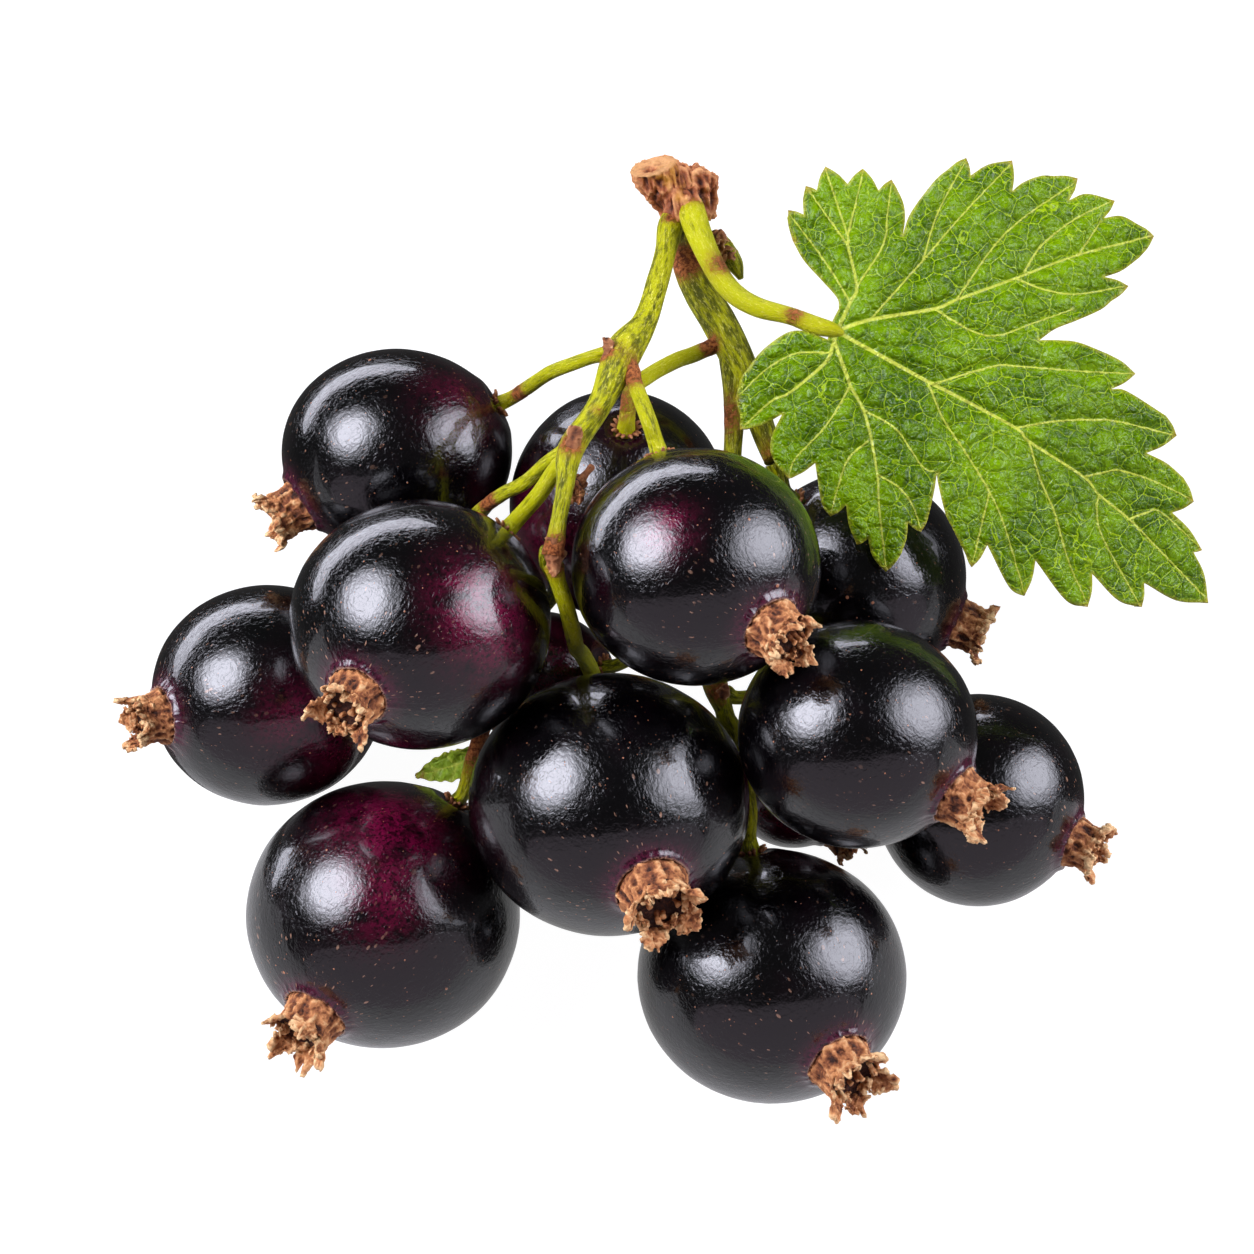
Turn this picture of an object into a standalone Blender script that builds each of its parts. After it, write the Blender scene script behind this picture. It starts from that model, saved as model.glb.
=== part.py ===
"""A sprig of blackcurrants with one leaf, lying on a flat surface.

Lengths are in millimetres and are scaled to metres when a mesh is made. The sprig lies in the XY plane with
its cut woody spur towards +Y, and +Z points up from the surface. Every berry, stalk, dried flower crown and
leaf is an object of its own. When all are made, the whole sprig is moved so that the centre of its bounding
box stands over the origin and its lowest point lies at Z = 0.
"""

import math
from dataclasses import dataclass

import bmesh
import bpy
from mathutils import Matrix, Vector
from mathutils.geometry import delaunay_2d_cdt

MM = 0.001

# Driving dimensions.
GAP = 0.3  # space left between two pieces that touch on the real sprig
SKIN = 0.15  # how far the finished skin of a berry stands outside its solid here
BERRY_SEGMENTS = 16
BERRY_RINGS = 10
BRACT_SEGMENTS = 8
BRACT_RINGS = 6
STEM_SIDES = 8
STEM_STEPS = 3  # spans between two route points
PEDICEL_SWELLING = 1.15  # how much thicker a stalk is where it meets its berry
STRAIGHT_END = 0.6  # length of stalk that stands square on the berry
CROWN_SIDES = 10
CROWN_LENGTH = 2.1
CROWN_PROFILE = (  # distance from the berry and radius, as parts of the crown's length
    (0.0, 0.60),
    (0.30, 0.51),
    (0.62, 0.54),
    (0.90, 0.76),
    (1.0, 0.60),
    (0.75, 0.34),
)
CROWN_LOBES = 5
CROWN_LOBE_DEPTH = 0.10
LEAF_THICKNESS = 0.4
LEAF_GRID = 1.4  # spacing of the points inside the leaf
LEAF_BASE = Vector((9.5, 13.4))  # where the leaf stalk meets the blade
LEAF_SUMMIT = Vector((1.5, -6.0))  # highest place of the blade, measured from its base
LEAF_HEIGHT = 10.8
LEAF_DROOP = 0.012  # fall with the square of the distance from the summit
LEAF_SAG_START = 4.0
LEAF_SAG = 0.010  # further fall towards +X, past the sag's start


@dataclass(frozen=True)
class Berry:
    """A berry: its centre, half sizes along X, Y and Z, and the ways to its crown and to its stalk."""

    centre: tuple
    half: tuple
    crown: tuple
    stalk: tuple
    crown_scale: float

    def on_skin(self, way, clear):
        """The point that lies the given distance outside the solid, seen from the centre."""
        unit = Vector(way).normalized()
        half = Vector(self.half) - Vector((SKIN, SKIN, SKIN))
        reach = 1 / math.sqrt(sum((u / h) ** 2 for u, h in zip(unit, half)))
        return Vector(self.centre) + unit * (reach + clear)


BERRIES = (
    Berry((-10.5, 8.0, 4.8), (5.3, 4.75, 5.0), (-0.87, -0.48, 0.1), (0.9, 0.42, 0.1), 0.95),
    Berry((-0.4, 5.6, 4.9), (5.0, 5.2, 5.1), (0.3, -0.85, -0.42), (0.07, 0.66, 0.74), 0.72),
    Berry((-9.3, 0.1, 14.0), (6.0, 5.65, 5.8), (-0.48, -0.55, 0.68), (0.66, 0.72, -0.12), 1.05),
    Berry((3.1, 2.7, 16.1), (5.65, 5.35, 5.5), (0.61, -0.5, 0.61), (-0.3, 0.93, -0.2), 1.05),
    Berry((-16.4, -3.1, 5.0), (5.35, 5.1, 5.2), (-0.9, -0.18, 0.39), (0.75, 0.5, 0.45), 0.95),
    Berry((-11.1, -13.1, 6.0), (6.3, 6.15, 6.25), (-0.5, -0.73, 0.46), (0.54, 0.83, 0.1), 1.12),
    Berry((-0.8, -8.0, 11.5), (6.35, 6.0, 6.15), (0.32, -0.61, 0.72), (-0.08, 0.72, -0.69), 1.25),
    Berry((6.6, -15.9, 5.7), (6.15, 5.85, 6.0), (0.51, -0.64, 0.57), (-0.17, 0.97, 0.1), 1.15),
    Berry((10.4, -4.8, 13.3), (5.4, 5.2, 5.3), (0.82, -0.52, 0.25), (-0.6, 0.55, -0.55), 1.05),
    Berry((16.1, -7.9, 4.6), (4.85, 4.85, 4.85), (0.9, -0.4, 0.2), (-0.8, 0.55, 0.15), 0.9),
    Berry((10.6, 2.2, 4.7), (4.95, 4.95, 4.95), (0.91, -0.41, 0.0), (-0.62, 0.7, 0.35), 0.9),
    Berry((7.7, -6.8, 3.0), (3.3, 3.3, 3.3), (0.62, -0.78, 0.0), (-0.75, 0.45, 0.48), 0.7),
    Berry((-3.8, -2.5, 3.7), (3.25, 3.25, 3.25), (-0.85, 0.45, -0.15), (0.86, 0.2, 0.47), 0.72),
)


@dataclass(frozen=True)
class Stem:
    """A stalk: the points of its centre line and its radius at each of them."""

    route: tuple
    radii: tuple


FRONT_STRIG = Stem(
    (
        (1.9, 18.0, 3.8),
        (1.75, 17.1, 5.3),
        (1.4, 15.7, 7.4),
        (0.8, 13.8, 9.6),
        (-0.2, 12.3, 11.4),
        (-1.2, 10.0, 13.6),
        (-2.5, 8.0, 15.3),
        (-2.8, 6.2, 16.4),
        (-3.1, 4.4, 17.2),
        (-3.3, 3.2, 17.3),
    ),
    (0.58, 0.48, 0.5, 0.58, 0.85, 0.55, 0.6, 0.4, 0.38, 0.5),
)
REAR_STRIG = Stem(
    (
        (2.9, 18.3, 2.2),
        (2.8, 16.7, 3.2),
        (3.3, 15.3, 4.1),
        (4.2, 13.9, 5.0),
        (5.2, 11.9, 5.8),
        (5.9, 9.9, 6.3),
        (6.4, 8.4, 6.6),
        (6.7, 7.6, 6.9),
    ),
    (0.6, 0.65, 0.7, 0.8, 0.75, 0.62, 0.55, 0.5),
)
REAR_BRANCH = Stem(
    (
        (4.7, 13.0, 5.4),
        (4.9, 10.6, 6.2),
        (4.8, 8.0, 7.4),
        (4.6, 4.9, 8.4),
        (4.2, 1.2, 8.8),
        (3.9, -2.0, 8.6),
        (4.4, -3.9, 8.2),
    ),
    (0.6, 0.5, 0.4, 0.4, 0.42, 0.5, 0.45),
)
LEAF_STALK = Stem(
    (
        (3.1, 18.7, 4.6),
        (3.4, 17.6, 5.6),
        (4.0, 16.3, 6.6),
        (4.8, 15.2, 7.5),
        (5.9, 14.5, 8.4),
        (7.3, 14.1, 9.2),
        (8.5, 13.65, 9.8),
    ),
    (0.6, 0.58, 0.52, 0.48, 0.44, 0.4, 0.42),
)
SPUR = Stem(
    ((1.25, 21.0, 3.4), (1.8, 20.5, 3.2), (2.4, 19.9, 2.9), (2.8, 19.2, 2.6)),
    (1.15, 1.0, 1.05, 1.15),
)
SPUR_KNOB = Stem(((3.7, 20.8, 3.0), (3.2, 20.2, 2.8), (2.7, 19.6, 2.6)), (0.75, 0.8, 0.9))
BUD = Stem(
    ((4.1, 17.9, 4.1), (4.4, 17.4, 4.1), (4.9, 16.6, 4.3), (5.2, 15.9, 4.5)),
    (0.3, 0.5, 0.45, 0.15),
)
DRIED_FLOWER = Stem(
    ((-1.6, 7.2, 12.6), (-2.2, 6.5, 13.6), (-2.5, 6.1, 14.2)),
    (0.2, 0.45, 0.9),
)
LEAFLET = Stem(
    ((-6.9, -5.6, 6.0), (-7.6, -6.2, 5.6), (-8.6, -6.5, 5.2), (-9.6, -6.8, 4.9)),
    (0.12, 0.6, 0.5, 0.1),
)
LEAFLET_FLATNESS = 0.4

# The stalk of each berry, in the berries' order, from the strig down; its last point is set by the berry.
PEDICEL_ROUTES = (
    ((-1.5, 12.2, 11.4), (-2.4, 11.9, 11.1), (-3.5, 11.5, 9.6), (-4.5, 10.9, 7.0)),
    ((3.0, 12.4, 6.0), (2.2, 12.1, 6.8), (1.0, 11.4, 8.2), (0.2, 10.7, 9.4)),
    ((-3.3, 6.9, 15.1), (-3.9, 6.0, 14.6)),
    ((0.4, 10.8, 13.1), (0.7, 10.0, 14.0), (1.0, 9.2, 15.0)),
    (
        ((-3.7, 7.3, 13.9), (-4.6, 6.5, 12.9), (-5.6, 6.0, 11.7))
        + ((-6.7, 5.2, 10.0), (-8.3, 3.4, 7.6), (-10.6, 1.4, 7.4))
    ),
    (
        ((-3.6, 2.9, 16.2), (-3.3, 2.3, 14.8), (-3.2, 1.7, 12.6), (-3.9, 0.7, 9.8))
        + ((-5.0, -1.0, 8.2), (-6.0, -3.4, 7.7), (-6.9, -5.6, 7.3))
    ),
    (
        ((-3.1, 2.1, 16.8), (-2.7, 0.9, 15.6), (-2.4, -0.4, 12.8))
        + ((-2.3, -0.9, 10.3), (-2.0, -1.3, 8.4), (-1.6, -2.1, 6.6))
    ),
    ((4.8, -4.7, 8.1), (5.2, -6.4, 7.9), (5.5, -8.2, 7.4)),
    ((4.8, -1.6, 8.8), (5.6, -1.3, 9.2)),
    ((5.1, -3.2, 7.9), (7.4, -3.0, 7.1), (9.6, -3.6, 6.6), (11.2, -4.5, 6.0)),
    ((6.9, 7.0, 6.9),),
    ((4.4, -4.6, 7.3), (4.4, -4.8, 6.4)),
    ((2.8, -1.3, 8.1), (1.6, -1.1, 7.2), (0.6, -1.25, 6.3)),
)
PEDICEL_RADII = (0.3, 0.33, 0.38, 0.36, 0.32, 0.34, 0.38, 0.42, 0.34, 0.32, 0.4, 0.3, 0.3)

# Scales at the joints of the strigs: centre, half sizes, and turn about Z in degrees.
BRACTS = (
    ((-0.7, 12.9, 12.8), (0.25, 0.65, 0.18), 25),
    ((-2.5, 8.3, 16.5), (0.32, 0.6, 0.18), -25),
    ((-3.3, 3.1, 18.2), (0.4, 0.75, 0.16), 0),
    ((4.4, -2.9, 9.4), (0.22, 0.35, 0.16), 20),
)

# The leaf's edge from its base, clockwise, measured from the base: tooth tips and the notches between them.
UPPER_LOBE = (
    ((0.1, 1.0), (-0.7, 2.3), (-1.5, 3.2), (-2.2, 5.5), (-1.5, 5.3), (-1.4, 6.6), (-0.9, 6.4), (-0.5, 7.5))
    + ((0.5, 6.7), (1.2, 7.4), (1.9, 6.4), (2.5, 6.9), (3.0, 5.9), (3.0, 4.4))
)
RIGHT_LOBE = (
    ((3.7, 5.9), (5.1, 7.4), (5.9, 7.9), (6.1, 7.1), (8.0, 7.8), (8.0, 6.4), (9.3, 7.1), (11.0, 7.0))
    + ((10.6, 6.0), (12.7, 6.0), (12.2, 5.2), (14.5, 4.4), (12.9, 2.8), (12.2, 2.5), (13.3, 2.1))
    + ((12.0, 1.0), (9.2, -0.4))
)
MAIN_LOBE = (
    ((11.0, -0.5), (12.3, -1.0), (13.6, -1.9), (12.5, -2.6), (15.0, -3.8), (15.5, -4.7), (14.1, -5.5))
    + ((15.8, -6.6), (16.3, -7.7), (15.3, -8.2), (16.7, -9.9), (17.0, -12.3), (15.5, -12.2), (14.0, -11.4))
    + ((13.9, -12.5), (12.8, -12.2), (11.6, -11.0), (11.4, -12.5), (10.4, -12.2), (9.0, -10.4))
    + ((8.5, -12.0), (6.8, -9.7), (6.1, -10.7), (5.2, -8.9), (4.5, -6.5))
)
LOWER_LOBE = (
    ((4.2, -8.1), (3.8, -9.1), (3.2, -8.7), (2.9, -10.1), (2.2, -10.9), (1.4, -9.4), (0.9, -9.7))
    + ((0.4, -7.9), (-0.3, -8.4), (-1.0, -6.0), (-2.2, -6.7), (-3.0, -4.9), (-2.5, -3.8))
)
BASE_LOBE = (
    (-4.4, -4.5),
    (-4.6, -3.1),
    (-4.1, -1.8),
    (-3.4, -0.9),
    (-2.3, -0.1),
    (-0.9, -0.2),
    (-0.2, -0.3),
)


def clear_scene():
    """Removes whatever the file holds."""
    for item in list(bpy.data.objects):
        bpy.data.objects.remove(item, do_unlink=True)


def material(name, colour, roughness):
    """A plain finish, shared by the pieces made of the same stuff."""
    made = bpy.data.materials.new(name)
    made.use_nodes = True
    shader = made.node_tree.nodes["Principled BSDF"]
    shader.inputs["Base Color"].default_value = (*colour, 1.0)
    shader.inputs["Roughness"].default_value = roughness
    shader.inputs["Metallic"].default_value = 0.0
    return made


def add_piece(name, shape, finish, smooth=True):
    """Turns a bmesh in millimetres into an object in metres."""
    bmesh.ops.scale(shape, vec=(MM, MM, MM), verts=shape.verts)
    bmesh.ops.recalc_face_normals(shape, faces=shape.faces)
    mesh = bpy.data.meshes.new(name)
    shape.to_mesh(mesh)
    shape.free()
    mesh.materials.append(finish)
    if smooth:
        mesh.shade_smooth()
    piece = bpy.data.objects.new(name, mesh)
    bpy.context.scene.collection.objects.link(piece)
    return piece


def smooth_route(points, steps):
    """Points along a Catmull-Rom curve through the given ones; each value may have any length."""
    points = [Vector(point) for point in points]
    ends = [points[0] * 2 - points[1], *points, points[-1] * 2 - points[-2]]
    found = []
    for a, b, c, d in zip(ends, ends[1:], ends[2:], ends[3:]):
        slope = c - a
        bend = a * 2 - b * 5 + c * 4 - d
        twist = b * 3 - a - c * 3 + d
        for step in range(steps):
            t = step / steps
            found.append((b * 2 + slope * t + bend * t**2 + twist * t**3) / 2)
    return [*found, points[-1]]


def loft_tube(shape, points, radii, sides):
    """Adds a closed round tube through the points to a bmesh, with a flat cap at each end."""
    side = Vector((0, 0, 1)).cross(points[1] - points[0])
    rings = []
    for index, (point, radius) in enumerate(zip(points, radii)):
        along = (points[min(index + 1, len(points) - 1)] - points[max(index - 1, 0)]).normalized()
        side = (side - along * side.dot(along)).normalized()
        up = along.cross(side)
        turns = [2 * math.pi * k / sides for k in range(sides)]
        offsets = [(side * math.cos(turn) + up * math.sin(turn)) * radius for turn in turns]
        rings.append([shape.verts.new(point + offset) for offset in offsets])
    for ring, following in zip(rings, rings[1:]):
        for k in range(sides):
            shape.faces.new((ring[k - 1], ring[k], following[k], following[k - 1]))
    shape.faces.new(rings[0])
    shape.faces.new(reversed(rings[-1]))


def add_stem(name, stem, finish, sides=STEM_SIDES, flatness=1.0):
    """A stalk as one closed tube; flatness below 1 squeezes it in height about its own centre line."""
    packed = smooth_route([(*point, radius) for point, radius in zip(stem.route, stem.radii)], STEM_STEPS)
    points = [Vector(value[:3]) for value in packed]
    shape = bmesh.new()
    loft_tube(shape, points, [value[3] for value in packed], sides)
    if flatness != 1.0:
        for vert in shape.verts:
            nearest = min(points, key=lambda point: (point - vert.co).length)
            vert.co.z = nearest.z + (vert.co.z - nearest.z) * flatness
    return add_piece(name, shape, finish)


def unite(piece, other):
    """Joins the second object into the first with an exact union and removes it."""
    union = piece.modifiers.new("union", "BOOLEAN")
    union.operation = "UNION"
    union.solver = "EXACT"
    union.object = other
    graph = bpy.context.evaluated_depsgraph_get()
    joined = bpy.data.meshes.new_from_object(piece.evaluated_get(graph))
    piece.modifiers.clear()
    piece.data = joined
    bpy.data.objects.remove(other, do_unlink=True)


def add_berry(name, berry, finish):
    """A rounded berry whose poles lie at crown and stalk, flattened where it rests on the surface."""
    shape = bmesh.new()
    bmesh.ops.create_uvsphere(shape, u_segments=BERRY_SEGMENTS, v_segments=BERRY_RINGS, radius=1.0)
    turn = Vector(berry.crown).to_track_quat("Z", "Y").to_matrix().to_4x4()
    half = [h - SKIN for h in berry.half]
    fit = Matrix.Translation(berry.centre) @ Matrix.Diagonal((*half, 1.0)) @ turn
    bmesh.ops.transform(shape, matrix=fit, verts=shape.verts)
    if min(vert.co.z for vert in shape.verts) < 0:
        cut = bmesh.ops.bisect_plane(
            shape,
            geom=[*shape.verts, *shape.edges, *shape.faces],
            plane_co=(0, 0, 0),
            plane_no=(0, 0, -1),
            clear_outer=True,
        )
        rim = [item for item in cut["geom_cut"] if isinstance(item, bmesh.types.BMEdge)]
        bmesh.ops.contextual_create(shape, geom=rim)
    return add_piece(name, shape, finish)


def add_crown(name, berry, finish):
    """The dried flower that stands on a berry's end: a short tube that flares into a ragged, hollow rim."""
    length = CROWN_LENGTH * berry.crown_scale
    turn = Vector(berry.crown).to_track_quat("Z", "Y").to_matrix().to_4x4()
    place = Matrix.Translation(berry.on_skin(berry.crown, GAP)) @ turn
    shape = bmesh.new()
    rings = []
    for distance, radius in CROWN_PROFILE:
        ring = []
        for k in range(CROWN_SIDES):
            angle = 2 * math.pi * k / CROWN_SIDES
            lobe = 1 + CROWN_LOBE_DEPTH * math.cos(CROWN_LOBES * angle) * distance
            flat = Vector((math.cos(angle), math.sin(angle), 0)) * radius * lobe
            ring.append(shape.verts.new(place @ ((flat + Vector((0, 0, distance))) * length)))
        rings.append(ring)
    for ring, following in zip(rings, rings[1:]):
        for k in range(CROWN_SIDES):
            shape.faces.new((ring[k - 1], ring[k], following[k], following[k - 1]))
    shape.faces.new(rings[0])
    shape.faces.new(reversed(rings[-1]))
    return add_piece(name, shape, finish)


def add_pedicel(name, route, radius, berry, finish):
    """A berry's stalk, a little thicker where it meets the berry."""
    route = (*route, *(tuple(berry.on_skin(berry.stalk, clear)) for clear in (GAP + STRAIGHT_END, GAP)))
    radii = (radius,) * (len(route) - 1) + (radius * PEDICEL_SWELLING,)
    return add_stem(name, Stem(route, radii), finish)


def add_bract(name, centre, half, turn, finish):
    """A small dry scale that lies on a joint of the strig."""
    shape = bmesh.new()
    bmesh.ops.create_uvsphere(shape, u_segments=BRACT_SEGMENTS, v_segments=BRACT_RINGS, radius=1.0)
    spin = Matrix.Rotation(math.radians(turn), 4, "Z")
    fit = Matrix.Translation(centre) @ spin @ Matrix.Diagonal((*half, 1.0))
    bmesh.ops.transform(shape, matrix=fit, verts=shape.verts)
    return add_piece(name, shape, finish)


def leaf_height(point):
    """Height of the blade's upper side at a point measured from the leaf's base."""
    sag = max(0.0, point.x - LEAF_SAG_START)
    return LEAF_HEIGHT - LEAF_DROOP * (point - LEAF_SUMMIT).length_squared - LEAF_SAG * sag**2


def add_leaf_blade(name, finish):
    """The blade: its lobed and toothed outline, filled with points, bent over the berries and thickened."""
    edge = [Vector(point) for point in (*UPPER_LOBE, *RIGHT_LOBE, *MAIN_LOBE, *LOWER_LOBE, *BASE_LOBE)]
    low = [min(point[axis] for point in edge) for axis in (0, 1)]
    high = [max(point[axis] for point in edge) for axis in (0, 1)]
    columns = int((high[0] - low[0]) / LEAF_GRID) + 1
    rows = int((high[1] - low[1]) / LEAF_GRID) + 1
    inner = [
        Vector((low[0] + (column + 0.5 * (row % 2)) * LEAF_GRID, low[1] + row * LEAF_GRID))
        for row in range(rows)
        for column in range(columns)
    ]
    inner = [point for point in inner if min((point - other).length for other in edge) > LEAF_GRID / 2]
    outline = [list(range(len(edge)))]
    points, _, faces, *_ = delaunay_2d_cdt([*edge, *inner], [], outline, 1, 1e-4)
    shape = bmesh.new()
    verts = [shape.verts.new((*(LEAF_BASE + point), leaf_height(point))) for point in points]
    for face in faces:
        shape.faces.new([verts[index] for index in face])
    for vert in [vert for vert in shape.verts if not vert.link_faces]:
        shape.verts.remove(vert)
    top = list(shape.faces)
    extruded = bmesh.ops.extrude_face_region(shape, geom=top, use_keep_orig=True)
    for item in extruded["geom"]:
        if isinstance(item, bmesh.types.BMVert):
            item.co.z -= LEAF_THICKNESS
    return add_piece(name, shape, finish, smooth=False)


def stand_over_origin(pieces):
    """Moves all meshes so that the sprig's bounding box stands centred over the origin."""
    corners = [vert.co for piece in pieces for vert in piece.data.vertices]
    low = Vector(min(corner[axis] for corner in corners) for axis in range(3))
    high = Vector(max(corner[axis] for corner in corners) for axis in range(3))
    shift = Matrix.Translation((-(low.x + high.x) / 2, -(low.y + high.y) / 2, -low.z))
    for piece in pieces:
        piece.data.transform(shift)


def build():
    """Makes every piece of the sprig."""
    clear_scene()
    skin = material("berry_skin", (0.012, 0.006, 0.012), 0.22)
    papery = material("dried_flower", (0.42, 0.20, 0.08), 0.85)
    green_stem = material("stem_green", (0.42, 0.50, 0.05), 0.5)
    bark = material("spur_bark", (0.30, 0.13, 0.05), 0.8)
    leaf = material("leaf_green", (0.09, 0.30, 0.02), 0.4)
    scale = material("bract_brown", (0.36, 0.14, 0.05), 0.8)

    pieces = [add_stem("woody_spur", SPUR, bark)]
    unite(pieces[0], add_stem("spur_knob", SPUR_KNOB, bark))
    pieces.append(add_stem("bud", BUD, scale))
    pieces.append(add_stem("front_strig", FRONT_STRIG, green_stem))
    rear = add_stem("rear_strig", REAR_STRIG, green_stem)
    unite(rear, add_stem("rear_branch", REAR_BRANCH, green_stem))
    pieces.append(rear)
    pieces.append(add_stem("leaf_stalk", LEAF_STALK, green_stem))
    pieces.append(add_leaf_blade("leaf_blade", leaf))
    pieces.append(add_stem("leaflet", LEAFLET, leaf, flatness=LEAFLET_FLATNESS))
    pieces.append(add_stem("dried_flower", DRIED_FLOWER, papery))
    for number, (centre, half, turn) in enumerate(BRACTS, 1):
        pieces.append(add_bract(f"bract_{number:02d}", centre, half, turn, scale))
    for number, (berry, route, radius) in enumerate(zip(BERRIES, PEDICEL_ROUTES, PEDICEL_RADII), 1):
        pieces.append(add_berry(f"berry_{number:02d}", berry, skin))
        pieces.append(add_crown(f"crown_{number:02d}", berry, papery))
        pieces.append(add_pedicel(f"pedicel_{number:02d}", route, radius, berry, green_stem))
    stand_over_origin(pieces)


build()
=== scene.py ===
"""A sprig of ripe blackcurrants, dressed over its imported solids.

Glossy berries with dried flower crowns hang on green strigs from a woody spur with one lobed leaf. The
sprig lies on a pale floor and the camera looks straight down on it. Lengths are in millimetres until a shape
becomes a piece; the design frame is the one in which the routes of the stalks were laid out.
"""

import logging
import math
from collections.abc import Mapping, Sequence
from dataclasses import dataclass, field
from enum import Enum

import bpy
import numpy as np
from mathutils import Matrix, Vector
from mathutils.geometry import delaunay_2d_cdt


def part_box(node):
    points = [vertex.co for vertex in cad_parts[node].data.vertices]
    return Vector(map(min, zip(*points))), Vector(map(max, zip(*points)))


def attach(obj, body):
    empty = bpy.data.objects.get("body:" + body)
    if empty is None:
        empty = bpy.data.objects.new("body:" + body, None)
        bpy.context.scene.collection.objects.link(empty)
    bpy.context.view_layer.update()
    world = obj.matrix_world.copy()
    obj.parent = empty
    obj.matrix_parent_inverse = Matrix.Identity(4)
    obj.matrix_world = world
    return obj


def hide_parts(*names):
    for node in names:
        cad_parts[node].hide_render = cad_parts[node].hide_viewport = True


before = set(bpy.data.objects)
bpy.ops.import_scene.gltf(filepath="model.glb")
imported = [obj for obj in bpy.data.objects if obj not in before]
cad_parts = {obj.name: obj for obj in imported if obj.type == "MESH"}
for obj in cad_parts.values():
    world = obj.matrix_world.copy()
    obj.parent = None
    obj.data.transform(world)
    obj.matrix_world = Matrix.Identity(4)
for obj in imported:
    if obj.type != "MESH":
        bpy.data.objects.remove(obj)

LOG = logging.getLogger("sprig")
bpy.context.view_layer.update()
MM = 0.001
SKIN = 0.15  # how far a berry's skin stands outside its solid
BODY = "root"
TABLE_SIZE = 8192  # random heights in a noise table, a power of two
HASH_PRIMES = np.array((73856093, 19349663, 83492791))  # these mix the three numbers of a noise cell
NOISE_START = 57.3  # where the noise's cells are read from
CELL_START = 31.7  # where the random cells are read from
SEED_STEP = 1009  # the step in the table between two random numbers of one cell
KNOWN_PLACE = (-9.3, 0.1)  # the third berry's centre in the design frame

Way = tuple[float, float, float]
Colour = tuple[float, float, float]


# ---------------------------------------------------------------- numbers and noise


def smoothstep(values: np.ndarray, low: float, high: float) -> np.ndarray:
    """Goes smoothly from 0 at low to 1 at high."""
    share = np.clip((values - low) / (high - low), 0.0, 1.0)
    return share * share * (3.0 - 2.0 * share)


def hump(values: np.ndarray, centre: float, width: float) -> np.ndarray:
    """A smooth rise to 1 at the centre."""
    return np.exp(-(((values - centre) / width) ** 2))


def unit(way: Sequence[float]) -> np.ndarray:
    """The way with length 1."""
    made = np.asarray(way, float)
    return made / np.linalg.norm(made)


def axes_along(way: Sequence[float]) -> np.ndarray:
    """Three square axes as rows, the last of them along the way.

    Args:
        way: the direction that the third axis takes.

    Returns:
        A 3 by 3 array of unit rows.
    """
    up = unit(way)
    helper = np.array((0.0, 0.0, 1.0)) if abs(up[2]) < 0.9 else np.array((0.0, 1.0, 0.0))
    first = unit(np.cross(helper, up))
    return np.array((first, np.cross(up, first), up))


def smooth_route(points: Sequence[Sequence[float]], steps: int) -> np.ndarray:
    """Reads a Catmull-Rom curve through the points.

    Args:
        points: the points, each with any number of values.
        steps: how many pieces each stretch is cut into.

    Returns:
        The points of the finer route, one per row.
    """
    given = np.asarray(points, float)
    ends = np.vstack((2 * given[0] - given[1], given, 2 * given[-1] - given[-2]))
    before, start, stop, after = ends[:-3], ends[1:-2], ends[2:-1], ends[3:]
    rows = []
    for step in range(steps):
        t = step / steps
        bend = 2 * before - 5 * start + 4 * stop - after
        twist = 3 * start - before - 3 * stop + after
        rows.append((2 * start + (stop - before) * t + bend * t**2 + twist * t**3) / 2)
    return np.vstack((np.stack(rows, axis=1).reshape(-1, given.shape[1]), given[-1]))


def lengths_along(line: np.ndarray) -> np.ndarray:
    """The length of a line up to each of its points."""
    return np.concatenate(([0], np.cumsum(np.linalg.norm(np.diff(line, axis=0), axis=1))))


def read_at(line: np.ndarray, marks: np.ndarray, at: np.ndarray) -> np.ndarray:
    """The points of a line at the given places, where marks holds the place of each of its own points."""
    return np.column_stack([np.interp(at, marks, column) for column in line.T])


def full_turn(count: int) -> np.ndarray:
    """Even angles once around a circle, in radians."""
    return np.linspace(0, 2 * math.pi, count, endpoint=False)


def up_and_across(rows: int, columns: int) -> tuple[np.ndarray, np.ndarray]:
    """A sheet's own coordinates: a column from 0 to 1 up its rows, and a row from -1 to 1 across it."""
    return np.linspace(0, 1, rows)[:, None], np.linspace(-1, 1, columns)[None, :]


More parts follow.
